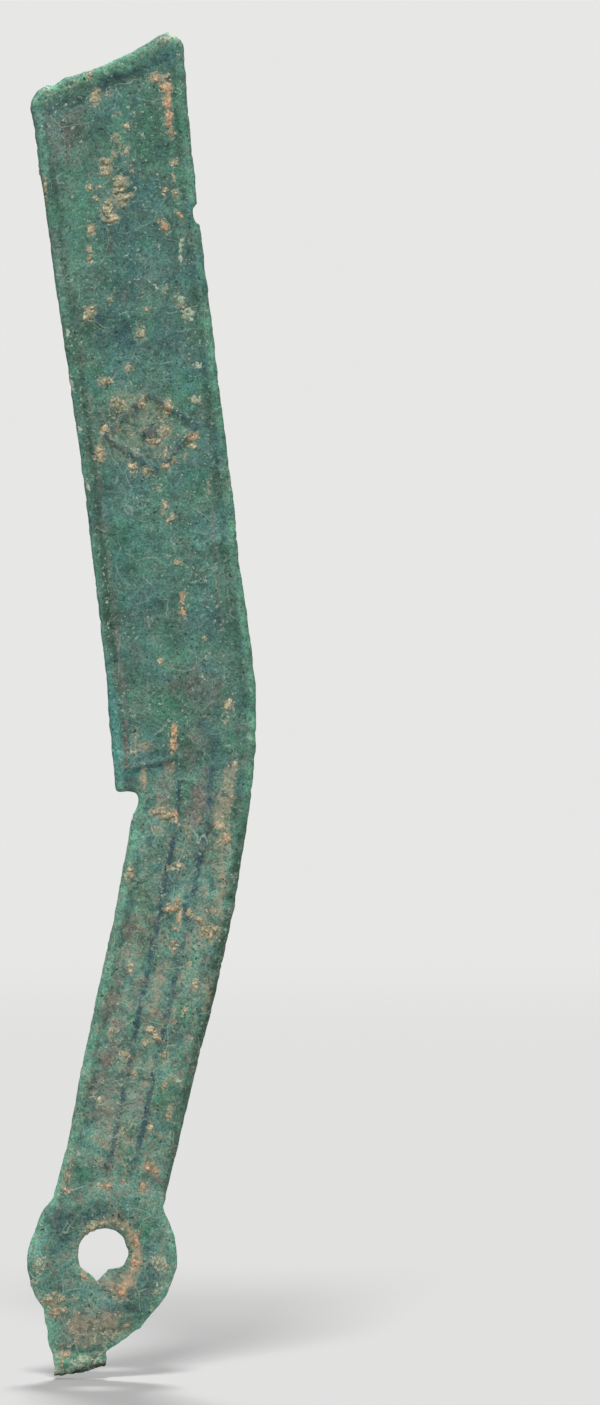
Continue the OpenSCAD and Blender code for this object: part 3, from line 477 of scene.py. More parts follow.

# Stains in the patina, where one mineral colours it: blue slate, brown mauve, emerald, deep
# green, light teal, turquoise, pale chalk and tan loam. Each patch is given by its place,
# half length, half width, strength and, if turned, its turn in degrees. The slate, deep green
# and teal stains join layers that also hold painted shade and painted highlight.
obverse_stains = {
    "slate": [
        (0.8, 122.3, 0.6, 1.8, 0.9, -23), (4.5, 124.1, 0.6, 1.3, 0.9, -23), (6.5, 125.1, 0.5, 0.5, 0.7),
        (-4.5, 119.8, 0.5, 1.5, 0.6, -23), (4.5, 108.3, 3, 3, 0.3), (7.1, 96.3, 3, 2.2, 0.45),
        (-0.4, 97.6, 0.4, 0.8, 0.9), (1.5, 95.6, 1.6, 2, 0.65), (2.8, 69, 2.5, 2, 0.3),
        (11.9, 66, 1.6, 1.2, 0.4), (11.7, 53.1, 2.6, 0.28, 0.6, 10), (10.6, 55, 0.7, 1, 0.6, 30),
        (7, 39.2, 1.4, 0.9, 0.6, 12), (9.4, 38.5, 1.6, 0.8, 0.5, 12), (10.9, 30.6, 2.4, 0.6, 0.5, 12),
        (7.8, 31, 2, 0.5, 0.6, 12), (8.6, 35.4, 1.4, 0.5, 0.8, 12), (4.9, 43.2, 0.8, 0.4, 0.7, 12),
        (2, 29, 1.6, 0.4, 0.6, 12), (9.9, 41.5, 1.8, 0.7, 0.4, 12), (10.3, 43.5, 1.2, 0.5, 0.7, 12),
        (7.6, 22.3, 1.8, 1, 0.5, 12), (5, -2.6, 1.8, 1, 0.5, 20), (0.8, -5.6, 0.8, 2.4, 0.4),
        (-3.6, 3.4, 1.4, 2.6, 0.5, 35), (-4.9, 0.2, 2, 0.8, 0.4, -5), (5.3, 1, 1, 0.7, 0.5),
        (3.2, -5.4, 0.9, 2, 0.5, 35),
    ],
    "mauve": [
        (-3.9, 117.3, 3, 2.2, 0.55, -7), (-4.6, 103.6, 3.6, 0.35, 0.7, -8), (1.5, 57.4, 0.9, 0.6, 0.6),
        (2.4, 53.6, 4.2, 0.35, 0.9), (9.8, 59.2, 2.4, 3, 0.5), (9.5, 46, 4.5, 0.8, 0.6, 12),
        (6.8, 47.8, 2.4, 0.8, 0.4, 10), (1.8, 59.6, 1.2, 0.5, 0.7), (2.9, 33.6, 1.6, 0.9, 0.8, 12),
        (0.8, 25.6, 1.6, 1.2, 0.7, 12), (5.6, 25.5, 2, 0.8, 0.7, 12), (10.2, 39.8, 0.8, 0.6, 0.5),
        (5.5, 33.3, 1.5, 0.4, 0.6, 12), (0.5, 20.5, 1.5, 0.7, 0.9, 12), (-0.2, 17, 2.4, 1.6, 0.6, 12),
        (0.4, 14.2, 1.8, 1.2, 0.5, 12), (4.1, 15, 1.3, 1.1, 0.5, 12), (0.4, 8.8, 0.7, 0.5, 0.6),
        (3, 19.5, 1.2, 0.5, 0.5, 12), (-1.9, -8, 2, 1.5, 0.7, 10), (-1.7, -9.2, 0.35, 0.7, 1),
        (-5, -5.5, 1.2, 0.8, 0.5), (-0.8, -7.2, 2.2, 3.6, 0.5), (3.4, 27.5, 3, 0.8, 0.5, 12),
        (1.6, 22.6, 2.6, 1.2, 0.7, 12), (10.2, 47.4, 3.8, 1.1, 0.9, 10), (6.7, 49, 1.8, 0.9, 0.6),
        (9.6, 53.4, 3, 1.5, 0.6, 6), (11.9, 72, 9, 0.3, 0.5, -4),
    ],
    "emerald": [
        (4.6, 2.8, 1.8, 1, 0.55), (4.9, 117.5, 3, 2, 0.5), (-2.6, 108.5, 4, 1.8, 0.35),
        (7.9, 119.5, 4, 0.7, 0.5, -6), (-4.8, -8.4, 1.4, 0.5, 0.7, 5), (-1, -12, 0.6, 1.4, 0.7, -8),
        (4.2, -6.3, 0.6, 1.6, 0.6, 40), (8.2, 89, 2.4, 1.6, 0.4), (-1.6, 92.4, 1.4, 2.2, 0.4),
        (2.4, 73, 3.4, 2.4, 0.3), (6.8, 57.5, 1.6, 1.6, 0.4), (4.1, 36, 3, 0.9, 0.4, 12),
        (2.6, 10.1, 1.5, 0.9, 0.7, 12), (-1.6, 8.5, 1, 1.4, 0.6), (3.1, 23.9, 1.5, 0.6, 0.6, 12),
        (6.5, 16.4, 1.8, 1.1, 0.6, 12), (8.6, 54.2, 1.4, 1, 0.4), (0.2, 89.8, 0.8, 1, 0.4),
        (9.3, 80.5, 2, 1.5, 0.4), (8.6, 25.6, 1.6, 0.8, 0.6, 12), (-2.6, -10.8, 1.2, 2.6, 0.6, -8),
    ],
    "deep_green_and_shade": [
        (-0.4, 116, 2.6, 2.2, 0.35), (4.7, 116.5, 3.2, 2, 0.3), (-0.2, 96.3, 1.8, 2.4, 0.8),
        (5.5, 95, 1.6, 2, 0.5), (14.9, 58, 1.2, 0.4, 0.6), (13.3, 66.2, 1.4, 0.6, 0.4),
        (9.1, 52.1, 1.3, 2.2, 0.6), (9.4, 56.5, 1.6, 2.4, 0.4),
    ],
    "teal": [
        (1.4, 53.5, 5.4, 0.9, 1, -2), (-6.3, 116.5, 4, 0.6, 0.6, -7), (11.3, 74.4, 3, 2, 0.35),
        (4.6, 77.5, 2.2, 3.5, 0.3), (-4.4, 100, 6, 0.5, 0.4, -7), (4, 43, 4, 0.8, 0.4, 12),
        (-6.3, 2.2, 2.4, 0.7, 0.6, 15), (-1.4, -5.2, 1.3, 2.4, 0.3), (9.8, 37.5, 3, 0.7, 0.5, 12),
        (8.2, 27.5, 2, 0.8, 0.4, 12),
    ],
    "turquoise": [
        (1.2, 54, 5.4, 0.6, 0.95, -4), (3, 50.2, 0.5, 1.6, 0.5, -8), (5.9, 44.5, 2, 0.4, 0.5, 10),
        (7.4, 3, 2.2, 0.4, 0.5, -10),
    ],
    "chalk": [
        (5.5, 101.1, 0.35, 1, 0.9, 37), (8.2, 104.7, 1.5, 0.3, 0.8), (9, 98.2, 0.6, 0.8, 0.9, 30),
        (8.2, 99.6, 0.5, 0.4, 0.9), (9.9, 92.7, 0.4, 0.5, 0.8), (5.8, 105, 0.4, 0.3, 0.7),
        (-3.7, 96.3, 0.8, 0.25, 0.7, -5), (7, 126.9, 0.5, 1, 0.8, -20), (-6, 121.5, 0.4, 0.6, 0.6),
        (3, 103, 3, 2.5, 0.25), (-5.3, 118.5, 2.5, 1.5, 0.3), (-3.2, 90.8, 1, 0.2, 0.8, -7),
        (-2.3, 86.2, 0.6, 0.3, 0.7), (-1.5, 80.1, 1.2, 0.25, 0.6, -7), (9.5, 89.2, 0.6, 0.5, 0.7),
        (2.8, 39.4, 0.8, 0.5, 0.9, 20), (6.4, 37.5, 0.2, 0.25, 1), (7.8, 40.4, 0.3, 0.9, 0.8, -15),
        (13, 41, 1.6, 0.25, 0.6, 12), (-2.6, 10.3, 0.6, 0.3, 0.8, 20), (-1.1, 16.4, 0.2, 0.5, 0.7),
        (8.1, 18.1, 0.2, 0.6, 0.7, -10), (-6.6, -1, 1.3, 0.8, 0.7), (6.1, -0.7, 1.1, 1.2, 0.65),
        (-6.8, -3.2, 1.6, 0.35, 0.6, 5), (6.3, -3.2, 0.4, 1.2, 0.6, -10), (-2.8, -4.5, 0.3, 0.7, 0.7, 10),
        (-0.8, 3.2, 0.4, 1.3, 0.8, 20), (-2.9, 0, 2, 0.35, 0.45), (0.2, -8.3, 0.5, 1, 0.55),
        (6, -3.4, 0.6, 0.9, 0.6, -20), (-6, -4.6, 1, 0.8, 0.6), (1.1, -8.6, 0.5, 0.8, 0.5),
        (-2.3, -11.1, 0.6, 2, 0.5, -8),
    ],
    "loam": [
        (3.6, 88.6, 1.6, 4, 0.5, 5), (4, 84.6, 2.4, 5, 0.45), (3.4, 54.3, 1.6, 0.5, 0.45),
        (4.6, 52.9, 0.45, 1.4, 0.55), (4.3, 49.6, 1.3, 0.45, 0.8, -5), (6.9, 50.8, 0.7, 0.6, 0.55),
        (6.2, 46, 3, 0.7, 0.5, 10), (5.6, 27, 3.2, 0.6, 0.6, 12), (4.6, 19, 3, 0.5, 0.5, 12),
        (11, 27, 2.5, 0.5, 0.5, 12), (-3.9, -10.3, 0.3, 1, 0.8, -8), (-4.5, -12.5, 0.4, 0.8, 0.7),
        (12.7, 47, 5.5, 0.9, 0.7, 10), (3.9, 53.2, 0.5, 1.1, 0.5), (3.6, 86.6, 4, 4.6, 0.4, 5),
        (-0.8, -7.6, 2.4, 3.8, 0.6), (3.2, 33, 8, 1, 0.3, 12), (8.5, 30, 9, 0.8, 0.35, 12),
        (2.2, 15, 6, 2.4, 0.4, 12),
    ],
}
reverse_stains = {
    "slate": [
        (6, 97.2, 2, 1.2, 0.5), (6.9, 92, 2, 1.6, 0.55), (2.4, 90, 1, 1, 0.7),
        (5.2, 84.2, 1.6, 0.5, 0.7, 30), (4.8, 79, 1, 2.4, 0.8), (8, 51.8, 2.5, 4, 0.4),
        (9.4, 44.9, 3, 0.35, 0.7, 8), (6.8, 43.7, 2, 0.35, 0.6, 8), (6, 25.7, 2, 0.35, 0.7, 12),
        (5.1, 20.5, 3, 0.25, 0.8, 12), (0.6, 16.9, 3, 0.35, 0.6, 12), (3.4, 13.7, 2.4, 0.3, 0.6, 12),
        (8.6, 27.7, 3, 0.6, 0.4, 12), (6, 1.1, 1.6, 0.9, 0.5), (-1.6, -4.5, 1, 1.4, 0.5),
        (-4.1, 3.4, 1.5, 0.8, 0.5, -30),
    ],
    "mauve": [
        (4, 120.2, 5, 3, 0.55, -7), (4.4, 110.8, 3, 2, 0.5, -20), (4.4, 55, 0.6, 1.1, 0.7),
        (4, 49.2, 1.2, 0.5, 0.6), (5.5, 46.1, 2, 0.9, 0.6, 10), (0.4, 5.7, 0.8, 4, 0.6),
        (2.2, -6.6, 2, 2.6, 0.6), (10.8, 33.4, 3, 0.8, 0.4, 12), (3.3, 21, 3, 1.6, 0.5, 12),
    ],
    "emerald": [
        (2.6, 100.4, 2.6, 3, 0.45), (0.9, 119.2, 2, 2.5, 0.35), (9.2, 59, 4, 3.5, 0.5),
        (4.2, 57.6, 2.2, 1.2, 0.7), (3, 62.8, 2, 1.6, 0.45), (5.6, 9, 2, 1.6, 0.6, 12),
        (7.1, 14.7, 2.4, 0.9, 0.5, 12), (4.5, 19.4, 1.6, 0.8, 0.5, 12), (-4.9, -11.2, 1, 0.5, 0.7),
        (-1.4, -3.4, 0.8, 1.6, 0.5),
    ],
    "deep_green_and_shade": [
        (7.1, 76.6, 0.35, 0.5, 1), (6.3, 89.9, 2.2, 2, 0.5), (5.2, 29.9, 4, 1.2, 0.4, 12),
        (-3.4, -12, 0.6, 1.2, 0.8), (6, 40.3, 1.6, 0.6, 0.5, 10),
    ],
    "teal": [
        (5.8, 72.7, 3.5, 7, 0.4), (6.8, -0.7, 3, 1, 0.6, 8), (-6.9, 0.3, 2.6, 0.6, 0.5, -8),
    ],
    "turquoise": [
        (-5.6, 107.9, 9, 0.7, 0.7, -8), (0, 72.3, 4, 0.8, 0.6, -7), (0.7, 59.2, 5, 0.8, 0.7, -5),
    ],
    "chalk": [
        (1.3, 69.9, 0.7, 0.6, 0.7), (-0.2, 72.8, 0.5, 0.4, 0.6), (-6.3, 116.2, 2.2, 0.25, 0.6, -8),
        (15.3, 52.7, 2.4, 0.4, 0.4), (9.7, 30.3, 0.4, 0.3, 0.7), (11.7, 25.1, 0.5, 0.3, 0.6),
    ],
    "loam": [
        (-1.6, 111.5, 6, 1.3, 0.6, -23), (-3.6, 115.9, 1, 0.5, 0.6), (0.7, 107, 1.2, 1, 0.55),
        (-3, 94.3, 4, 0.35, 0.7, -7), (-2.6, 85.9, 2, 0.3, 0.6, -7), (-0.5, 89, 1.6, 0.9, 0.5, -10),
        (4.9, 84.2, 2.4, 2.2, 0.5), (10.7, 87.7, 1.4, 0.6, 0.45), (9.6, 95.1, 0.8, 0.5, 0.5),
        (6, 113.4, 1.4, 1.2, 0.5), (7.2, 108.7, 1.6, 0.5, 0.5, 10), (1.5, 67.5, 1.2, 1, 0.8, -20),
        (3.3, 65.4, 0.8, 0.8, 0.5), (9.1, 68.7, 0.7, 0.6, 0.6), (10.8, 64.8, 0.7, 1, 0.6),
        (11.6, 62.7, 0.5, 0.7, 0.7), (11.3, 60.1, 0.4, 0.5, 0.6), (1.9, 62.1, 0.5, 0.4, 0.7),
        (3.9, 55.5, 0.5, 1, 0.6), (4.1, 49.2, 1, 0.3, 0.7, -10), (4.9, 41.4, 3, 0.6, 0.7, 8),
        (4.1, 37.2, 2.4, 0.7, 0.9, 8), (9.9, 40.2, 0.8, 0.4, 0.6), (6.7, 36.1, 1, 0.6, 0.6),
        (8.8, 31.6, 2, 0.3, 0.8), (5.8, 30.4, 3.8, 0.45, 0.95), (3.2, 32.5, 2.8, 0.6, 0.8, 5),
        (5.9, 23.1, 1.6, 0.3, 0.7, 29), (3, 22.9, 1.4, 1.3, 0.55), (-0.2, 25.8, 1.4, 0.5, 0.7, 12),
        (5.6, 19.2, 0.6, 1.4, 0.6), (2.5, 15.3, 3.4, 0.35, 0.8, 8), (-0.5, 13.3, 3.2, 0.4, 0.8, 10),
        (7.6, 13.1, 2.6, 0.3, 0.6, 12), (9.5, 20.4, 2.6, 0.3, 0.6, 12), (-2, 6.8, 0.6, 2, 0.5, 10),
        (5, 3.8, 0.6, 1.2, 0.6, -40), (-5.8, -1.8, 3, 0.7, 0.6, -10), (-3.5, -4.7, 0.7, 1, 0.7),
        (-1.5, -9.2, 0.8, 1.6, 0.5), (-2.3, -10.5, 0.4, 1.6, 0.7), (3.2, 2, 0.5, 0.8, 0.6, 40),
        (1.6, 15.5, 6, 2.4, 0.48, 12), (3.8, 29, 7, 2.2, 0.5, 12), (4.6, 42, 5, 1.4, 0.5, 10),
        (0.6, 5.6, 0.9, 3.6, 0.5), (3, 118, 4, 3, 0.45, -7), (5.6, 34, 3, 0.5, 0.9, 8),
        (1.2, 26, 3, 0.5, 0.7, 12), (3.9, 19, 2.2, 0.4, 0.8, 12), (1.2, 17, 2.6, 0.4, 0.8, 12),
        (-5.4, -1, 2.6, 1, 0.7), (3, 87, 3.4, 3.4, 0.35),
    ],
}
feather = 0.4 * lumps(points, 1.6, 45) + 0.35 * lumps(points, 0.55, 46)
on_obverse = facing[:, 1] <= 0.3
stained = {kind: np.zeros(count) for kind in obverse_stains}
for stains, on_face in ((obverse_stains, on_obverse), (reverse_stains, ~on_obverse)):
    for kind, patches in stains.items():
        for x, z, half_length, half_width, strength, *turn in patches:
            inside = inside_oval(x, z, half_length, half_width, *turn)
            patch = on_face * strength * eased(inside + feather, -0.45, 0.55)
            stained[kind] = np.maximum(stained[kind], patch)


# Patina: layered copper greens over the dark metal, mottled from large blotches down
# to fine grains. Jade green lies on the edges, partly as a painted highlight, and slate along the
# raised lines. Painted shade lies on the edges facing away from the lamp, in the furrows and hollows
# and under the tip's bead. Brown earth stain, pale dust, flecks and hair-fine root threads lie over all.
def strongest(*layers):
    # The strongest of several layers at every point.
    return np.maximum.reduce(layers)


# How far each point belongs to the blade, handle and ring, and to which side of them
on_blade, on_ring = eased(up_handle, 46, 49), faded(up_handle, 4, 9)
on_handle = eased(up_handle, 4, 9) * (1 - on_blade)
back_side, edge_side = eased(over_blade, -1, 1), eased(-over_handle, -1, 1)
blade_edge, blade_back = on_blade * (1 - back_side), on_blade * back_side

# Jade green on the edges, the tip's bead, the left of the hole and the gate. On the edges that
# face up towards the lamp (the blade's back and the handle's left edge) and on the ring's rim,
# it is partly a painted highlight.
uneven = 0.85 + 0.55 * lumps(points, 1.8, 51)
back_jade_and_highlight = np.interp(points[:, 2], [48, 56, 92, 100, 125], [0.9, 0.9, 0.75, 0.45, 0.4])
jade_and_highlight = faded(from_outline, 0.25, 1.1) * on_blade * (0.12 + 0.88 * back_side * back_jade_and_highlight)
jade_and_highlight += 0.75 * faded(from_outline, 0.4, 1.5) * on_handle * edge_side
jade_and_highlight += 0.8 * faded(from_outline, 0.2, 1.1) * on_ring
jade_and_highlight += 0.6 * hump(from_hole, 2.8, 0.8) * hump(around_hole, 215, 65)
jade_and_highlight += 0.6 * in_gate * eased(past_neck, 0.1, 0.5)
jade_and_highlight = strongest(jade_and_highlight, 0.95 * faded(under_tip, 0.9, 2.2)) * uneven

# Deep green in a band along the edge and in stains. On the handle's back edge and the blade's
# outer edge, which face down away from the lamp, and in the furrows, it is painted shade.
edge_band = np.interp(points[:, 2], [50, 57, 62, 90, 98, 125], [0, 0.2, 0.9, 0.8, 0.35, 0.2]) * blade_edge
furrow = hump(from_outline, 1.25, 0.4) * blade_edge + hump(from_outline, 1.6, 0.4) * blade_back
back_edge_shade = np.interp(up_handle, [8, 20, 30], [0.5, 0.85, 1.1]) * on_handle * (1 - edge_side)
deep_green_and_shade = back_edge_shade * faded(from_outline, 0.55, 1.3)
deep_green_and_shade += 0.5 * faded(from_outline, 0.05, 0.25) * blade_edge
deep_green_and_shade += 0.95 * edge_band * hump(from_outline, 0.95, 0.7) * uneven
deep_green_and_shade += 0.45 * furrow * uneven * eased(under_tip, 1.5, 3.5)
deep_green_and_shade = strongest(deep_green_and_shade, stained["deep_green_and_shade"])

# Blue slate along the ribs and in stains. The dark under the tip's bead and the two dark
# bands round the ring are painted shade.
waver = 0.32 * lumps(points, 0.8, 54) + 0.25 * lumps(points, 2.6, 55)
rib_line = relaxed(raised_line, 5)
slate = strongest(
    0.95 * eased(1.8 * rib_line + waver, 0.15, 1.0) * eased(rib_line, 0.02, 0.2) * (1 - 0.9 * on_bar),
    0.45 * hump(under_tip, 2.7, 1.4) * within_rims * (0.3 + 0.7 * hump(over_blade, -1, 5)),
    0.85 * hump(from_hole, 4.6, 1.9) * hump(around_hole, 130, 85),
    0.7 * hump(from_hole, 5.5, 1.5) * hump((around_hole + 180) % 360, 150, 55),
    stained["slate"],
)

# Brown mauve in blotches, most of them on the handle
mauve_heights = [-12, -4, 6, 20, 40, 52, 62, 100, 124]
mauve_share = [0.5, 0.2, 0.2, 0.4, 0.4, 0.4, 0.2, 0.15, 0.25]
mauve = np.interp(up_handle, mauve_heights, mauve_share) * eased(lumps(points, 2.4, 53), -0.1, 0.6)
mauve = strongest(mauve + 0.6 * edge_band * hump(from_outline, 1.6, 0.4), stained["mauve"])

# Tan earth rubbed into the crest of the handle's back rim and round the hole, and loose dust
crest_place = np.interp(up_handle, [22, 34, 50], [1.4, 1.7, 2.4])
crest = hump(from_outline, crest_place, 0.8) * on_handle * (1 - edge_side) * on_obverse
crest *= np.interp(up_handle, [18, 24, 46, 52], [0, 0.8, 1, 0]) * np.clip(0.65 + lumps(points, 0.7, 57), 0, 1)
film_angles = [0, 30, 68, 110, 150, 226, 262, 280, 296, 330, 360]
film_share = [0.95, 0.9, 0.8, 0.6, 0.5, 0.5, 0.5, 0.75, 0.95, 0.95, 0.95]
film_reach = [3.6, 3.6, 3.7, 3.2, 3.0, 2.95, 3.1, 3.6, 4.3, 3.8, 3.6]
film_width = [1.2, 1.2, 1.2, 0.8, 0.7, 0.7, 0.8, 1.2, 1.3, 1.2, 1.2]
off_film = from_hole - np.interp(around_hole, film_angles, film_reach)
off_film /= np.interp(around_hole, film_angles, film_width)
round_hole = np.interp(around_hole, film_angles, film_share) * hump(off_film, 0, 1) * on_obverse
wash = strongest(0.5 * crest, 0.8 * stained["loam"], 0.6 * round_hole)
ring_dust = np.interp(points[:, 2], [-6, -2], [0.35, 0.12])
dust = strongest(
    dust, 0.9 * crest, round_hole, stained["loam"],
    0.65 * hump(under_tip, 0.9, 1.1) * eased(lumps(points, 1.1, 56), -0.1, 0.5),
    (0.42 * on_handle + ring_dust * on_ring) * eased(lumps(points, 2.2, 52), -0.1, 0.6),
)
warmth = np.where(round_hole > 0.05, np.maximum(warmth, 0.8 * round_hole), warmth)

# Light teal and pale chalk on the ring's rim, the tip, the edge and the gate. The light teal
# on the ring's rim is partly a painted highlight.
teal = strongest(
    faded(from_outline, 0.15, 0.8) * on_ring,
    0.75 * faded(from_outline, 0.5, 2.0) * on_ring * hump(around_hole, 185, 75),
    0.6 * edge_band * faded(from_outline, 0.2, 0.6),
    stained["teal"],
)
chalk = 0.4 * faded(from_outline, 0.3, 1.4) * on_ring + 0.35 * hump(under_tip, 0.8, 1.0)
chalk += 0.4 * edge_band * hump(from_outline, 0.9, 0.7) + 0.3 * in_gate * eased(past_neck, 0.0, 0.3)
chalk = strongest(chalk, stained["chalk"])

# The skin keeps each layer for the materials to read. Jade and teal carry painted highlight,
# and deep, slate and hollow carry painted shade.
dusty = faded(up_handle, 40, 54) * (1 - 0.25 * on_ring)
for name, values in {
    "jade_and_highlight": jade_and_highlight, "emerald": stained["emerald"], "deep_green_and_shade": deep_green_and_shade, "slate": slate, "hollow_shade": hollow_shade,
    "dust": dust, "wash": wash, "mauve": mauve, "chalk": chalk, "teal": teal,
    "turquoise": stained["turquoise"], "dusty": dusty, "broken": broken, "warmth": warmth,
    "crust": crust, "crust_height": crust_height,
}.items():
    layer = skin.attributes.new(name, "FLOAT", "POINT")
    layer.data.foreach_set("value", np.clip(values, -1, 1).astype(np.float32))
layer = skin.attributes.new("skin_facing", "FLOAT_VECTOR", "POINT")
layer.data.foreach_set("vector", facing.astype(np.float32).ravel())
skin.vertices.foreach_set("co", (points * mm).astype(np.float32).ravel())
skin.update()


def shade(red, green, blue):
    # A colour as it looks on screen, in the shader's own scale.
    return tuple(((value / 255 + 0.055) / 1.055) ** 2.4 for value in (red, green, blue)) + (1,)


def wired(tree, node, inputs):
    # Gives each of a node's inputs a fixed value or a link.
    for socket, value in inputs.items():
        if isinstance(value, bpy.types.NodeSocket):
            tree.links.new(value, node.inputs[socket])
        else:
            node.inputs[socket].default_value = value
    return node


def new_node(tree, kind, inputs, **settings):
    # A shader node of a kind, with its settings and inputs.
    node = tree.nodes.new("ShaderNode" + kind)
    for setting, value in settings.items():
        setattr(node, setting, value)
    return wired(tree, node, inputs)


class Finish:
    # A material, built up by one short call for each layer.
    def __init__(self, name):
        self.material = bpy.data.materials.new(name)
        self.material.use_nodes = True
        self.tree = self.material.node_tree
        self.place = new_node(self.tree, "TexCoord", {}).outputs["Object"]

    def surface(self, inputs):
        return wired(self.tree, self.tree.nodes["Principled BSDF"], inputs)

    def lumps(self, length, detail, shift, output="Fac"):
        inputs = {"Vector": self.place, "W": shift, "Scale": 1 / (length * mm), "Detail": detail}
        return new_node(self.tree, "TexNoise", inputs, noise_dimensions="4D").outputs[output]

    def specks(self, length, shift, level):
        # Small ragged spots where lumps of that length rise over a level.
        return self.band(self.lumps(length, 1, shift), level, level + 0.06)

    def hairlines(self, length, bend, shift):
        # Distance from a net of lines about that length, bent out of true by lumps.
        inputs = {0: self.lumps(0.6 * length, 2, shift, "Color"), 1: (bend * mm,) * 3, 2: self.place}
        bent = new_node(self.tree, "VectorMath", inputs, operation="MULTIPLY_ADD")
        inputs = {"Vector": bent.outputs[0], "Scale": 1 / (length * mm)}
        return new_node(self.tree, "TexVoronoi", inputs, feature="DISTANCE_TO_EDGE").outputs["Distance"]

    def skin(self, name):
        return new_node(self.tree, "Attribute", {}, attribute_name=name).outputs["Fac"]

    def maths(self, kind, first, second):
        return new_node(self.tree, "Math", {0: first, 1: second}, operation=kind).outputs[0]

    def times(self, first, second):
        return self.maths("MULTIPLY", first, second)

    def plus(self, first, second):
        return self.maths("ADD", first, second)

    def band(self, value, low, high, to_low=0, to_high=1):
        inputs = {"Value": value, "From Min": low, "From Max": high, "To Min": to_low, "To Max": to_high}
        return new_node(self.tree, "MapRange", inputs, interpolation_type="SMOOTHSTEP").outputs[0]

    def ramp(self, value, *stops):
        node = new_node(self.tree, "ValToRGB", {"Fac": value})
        stop_list = node.color_ramp.elements
        while len(stop_list) < len(stops):
            stop_list.new(0.5)
        for stop, (position, colour) in zip(stop_list, stops):
            stop.position, stop.color = position, colour
        return node.outputs["Color"]

    def over(self, under, colour, share, how="MIX"):
        inputs = {"Factor": share, 6: under, 7: colour}
        return new_node(self.tree, "Mix", inputs, data_type="RGBA", blend_type=how).outputs[2]

    def relief(self, *layers):
        # Bumps, each given by its pattern, height in mm and strength, one on top of another.
        under = {}
        for pattern, height, strength in layers:
            inputs = {"Height": pattern, "Distance": height * mm, "Strength": strength, **under}
            under = {"Normal": new_node(self.tree, "Bump", inputs).outputs["Normal"]}
        return under["Normal"]


# Blotches of green first, then the film of dust, the stains with their painted shade and highlight,
# the mottling, the painted shade of the hollows and the loose bits
patina = Finish("bronze_patina_skin")
cloud, mottle = patina.lumps(3.4, 3, 2), patina.lumps(0.8, 3, 3)
grain, speckle = patina.lumps(0.34, 2, 4), patina.lumps(0.2, 1, 5)
colour = shade(77, 115, 102)
for tint, length, shift, low, high, share in (
    (shade(64, 106, 109), 5.0, 5, 0.44, 0.62, 0.5),
    (shade(70, 126, 99), 3.0, 6, 0.48, 0.64, 0.4),
    (shade(50, 82, 74), 2.2, 7, 0.50, 0.64, 0.42),
    (shade(98, 117, 105), 1.6, 22, 0.50, 0.62, 0.4),
):
    colour = patina.over(colour, tint, patina.band(patina.lumps(length, 5, shift), low, high, 0, share))
film = patina.times(patina.skin("dusty"), patina.band(patina.lumps(1.6, 5, 17), 0.36, 0.62, 0.3, 0.75))
film_colour = patina.ramp(
    patina.lumps(0.9, 4, 29), (0.38, shade(92, 133, 124)), (0.48, shade(110, 153, 133)),
    (0.55, shade(126, 147, 129)), (0.64, shade(152, 142, 125)),
)
colour = patina.over(colour, film_colour, film)
# The deep, slate, jade and teal layers carry painted shade and painted highlight as well as stains
for kind, tint, length, shift, low, high, least, most in (
    ("mauve", shade(116, 110, 103), 1.2, 8, 0.42, 0.56, 0.4, 1.0),
    ("teal", shade(110, 164, 150), 1.2, 18, 0.42, 0.56, 0.3, 0.9),
    ("turquoise", shade(68, 140, 134), 1.2, 14, 0.40, 0.54, 0.4, 1.0),
    ("emerald", shade(60, 124, 94), 1.2, 28, 0.41, 0.56, 0.4, 1.0),
    ("jade_and_highlight", shade(102, 158, 130), 1.0, 19, 0.41, 0.56, 0.3, 1.0),
    ("deep_green_and_shade", shade(54, 84, 68), 1.0, 20, 0.40, 0.55, 0.4, 0.95),
    ("slate", shade(52, 82, 89), 1.2, 9, 0.40, 0.56, 0.3, 1.0),
):
    broken_up = patina.band(patina.lumps(length, 5, shift), low, high, least, most)
    colour = patina.over(colour, tint, patina.times(patina.skin(kind), broken_up))
mix = patina.plus(patina.times(cloud, 0.35), patina.times(mottle, 0.35))
mix = patina.plus(mix, patina.times(grain, 0.3))
colour = patina.over(colour, patina.band(mix, 0.3, 0.7, 0.5, 1.5), 1.0, "MULTIPLY")
colour = patina.over(colour, patina.band(speckle, 0.25, 0.75, 0.68, 1.36), 1.0, "MULTIPLY")
# Painted shade: the colour is darkened in the hollows
colour = patina.over(colour, shade(40, 64, 58), patina.band(patina.skin("hollow_shade"), 0.15, 1.0, 0, 0.5))
dust_warmth = patina.times(patina.skin("warmth"), 0.8)
dust_colour = patina.over(shade(160, 157, 132), shade(198, 162, 131), dust_warmth)
washed = patina.band(patina.skin("wash"), 0.05, 1.0, 0, 0.65)
colour = patina.over(colour, dust_colour, patina.times(washed, patina.band(mottle, 0.38, 0.58, 0.2, 1.0)))
loose = patina.plus(patina.skin("dust"), patina.times(patina.lumps(0.45, 4, 10), 2.4))
colour = patina.over(colour, dust_colour, patina.band(loose, 1.6, 2.4, 0, 0.8))
crumbs = patina.plus(patina.skin("chalk"), patina.times(patina.lumps(0.36, 4, 21), 2.6))
crumb = patina.band(crumbs, 1.8, 2.1)
sprinkle = patina.times(patina.specks(0.34, 24, 0.62), patina.band(patina.skin("dust"), 0.15, 0.6))
flecked = patina.band(patina.lumps(3.6, 2, 11), 0.42, 0.64, 0.25, 1.0)
fine_fleck = patina.times(patina.specks(0.3, 25, 0.62), flecked)
fleck = patina.times(patina.specks(0.55, 26, 0.68), flecked)
pitted = patina.band(patina.lumps(2.8, 2, 13), 0.40, 0.62, 0.2, 1.0)
black_pit = patina.times(patina.specks(0.4, 27, 0.64), pitted)
thread = patina.band(patina.hairlines(4.4, 1.3, 15), 0.010, 0.004)
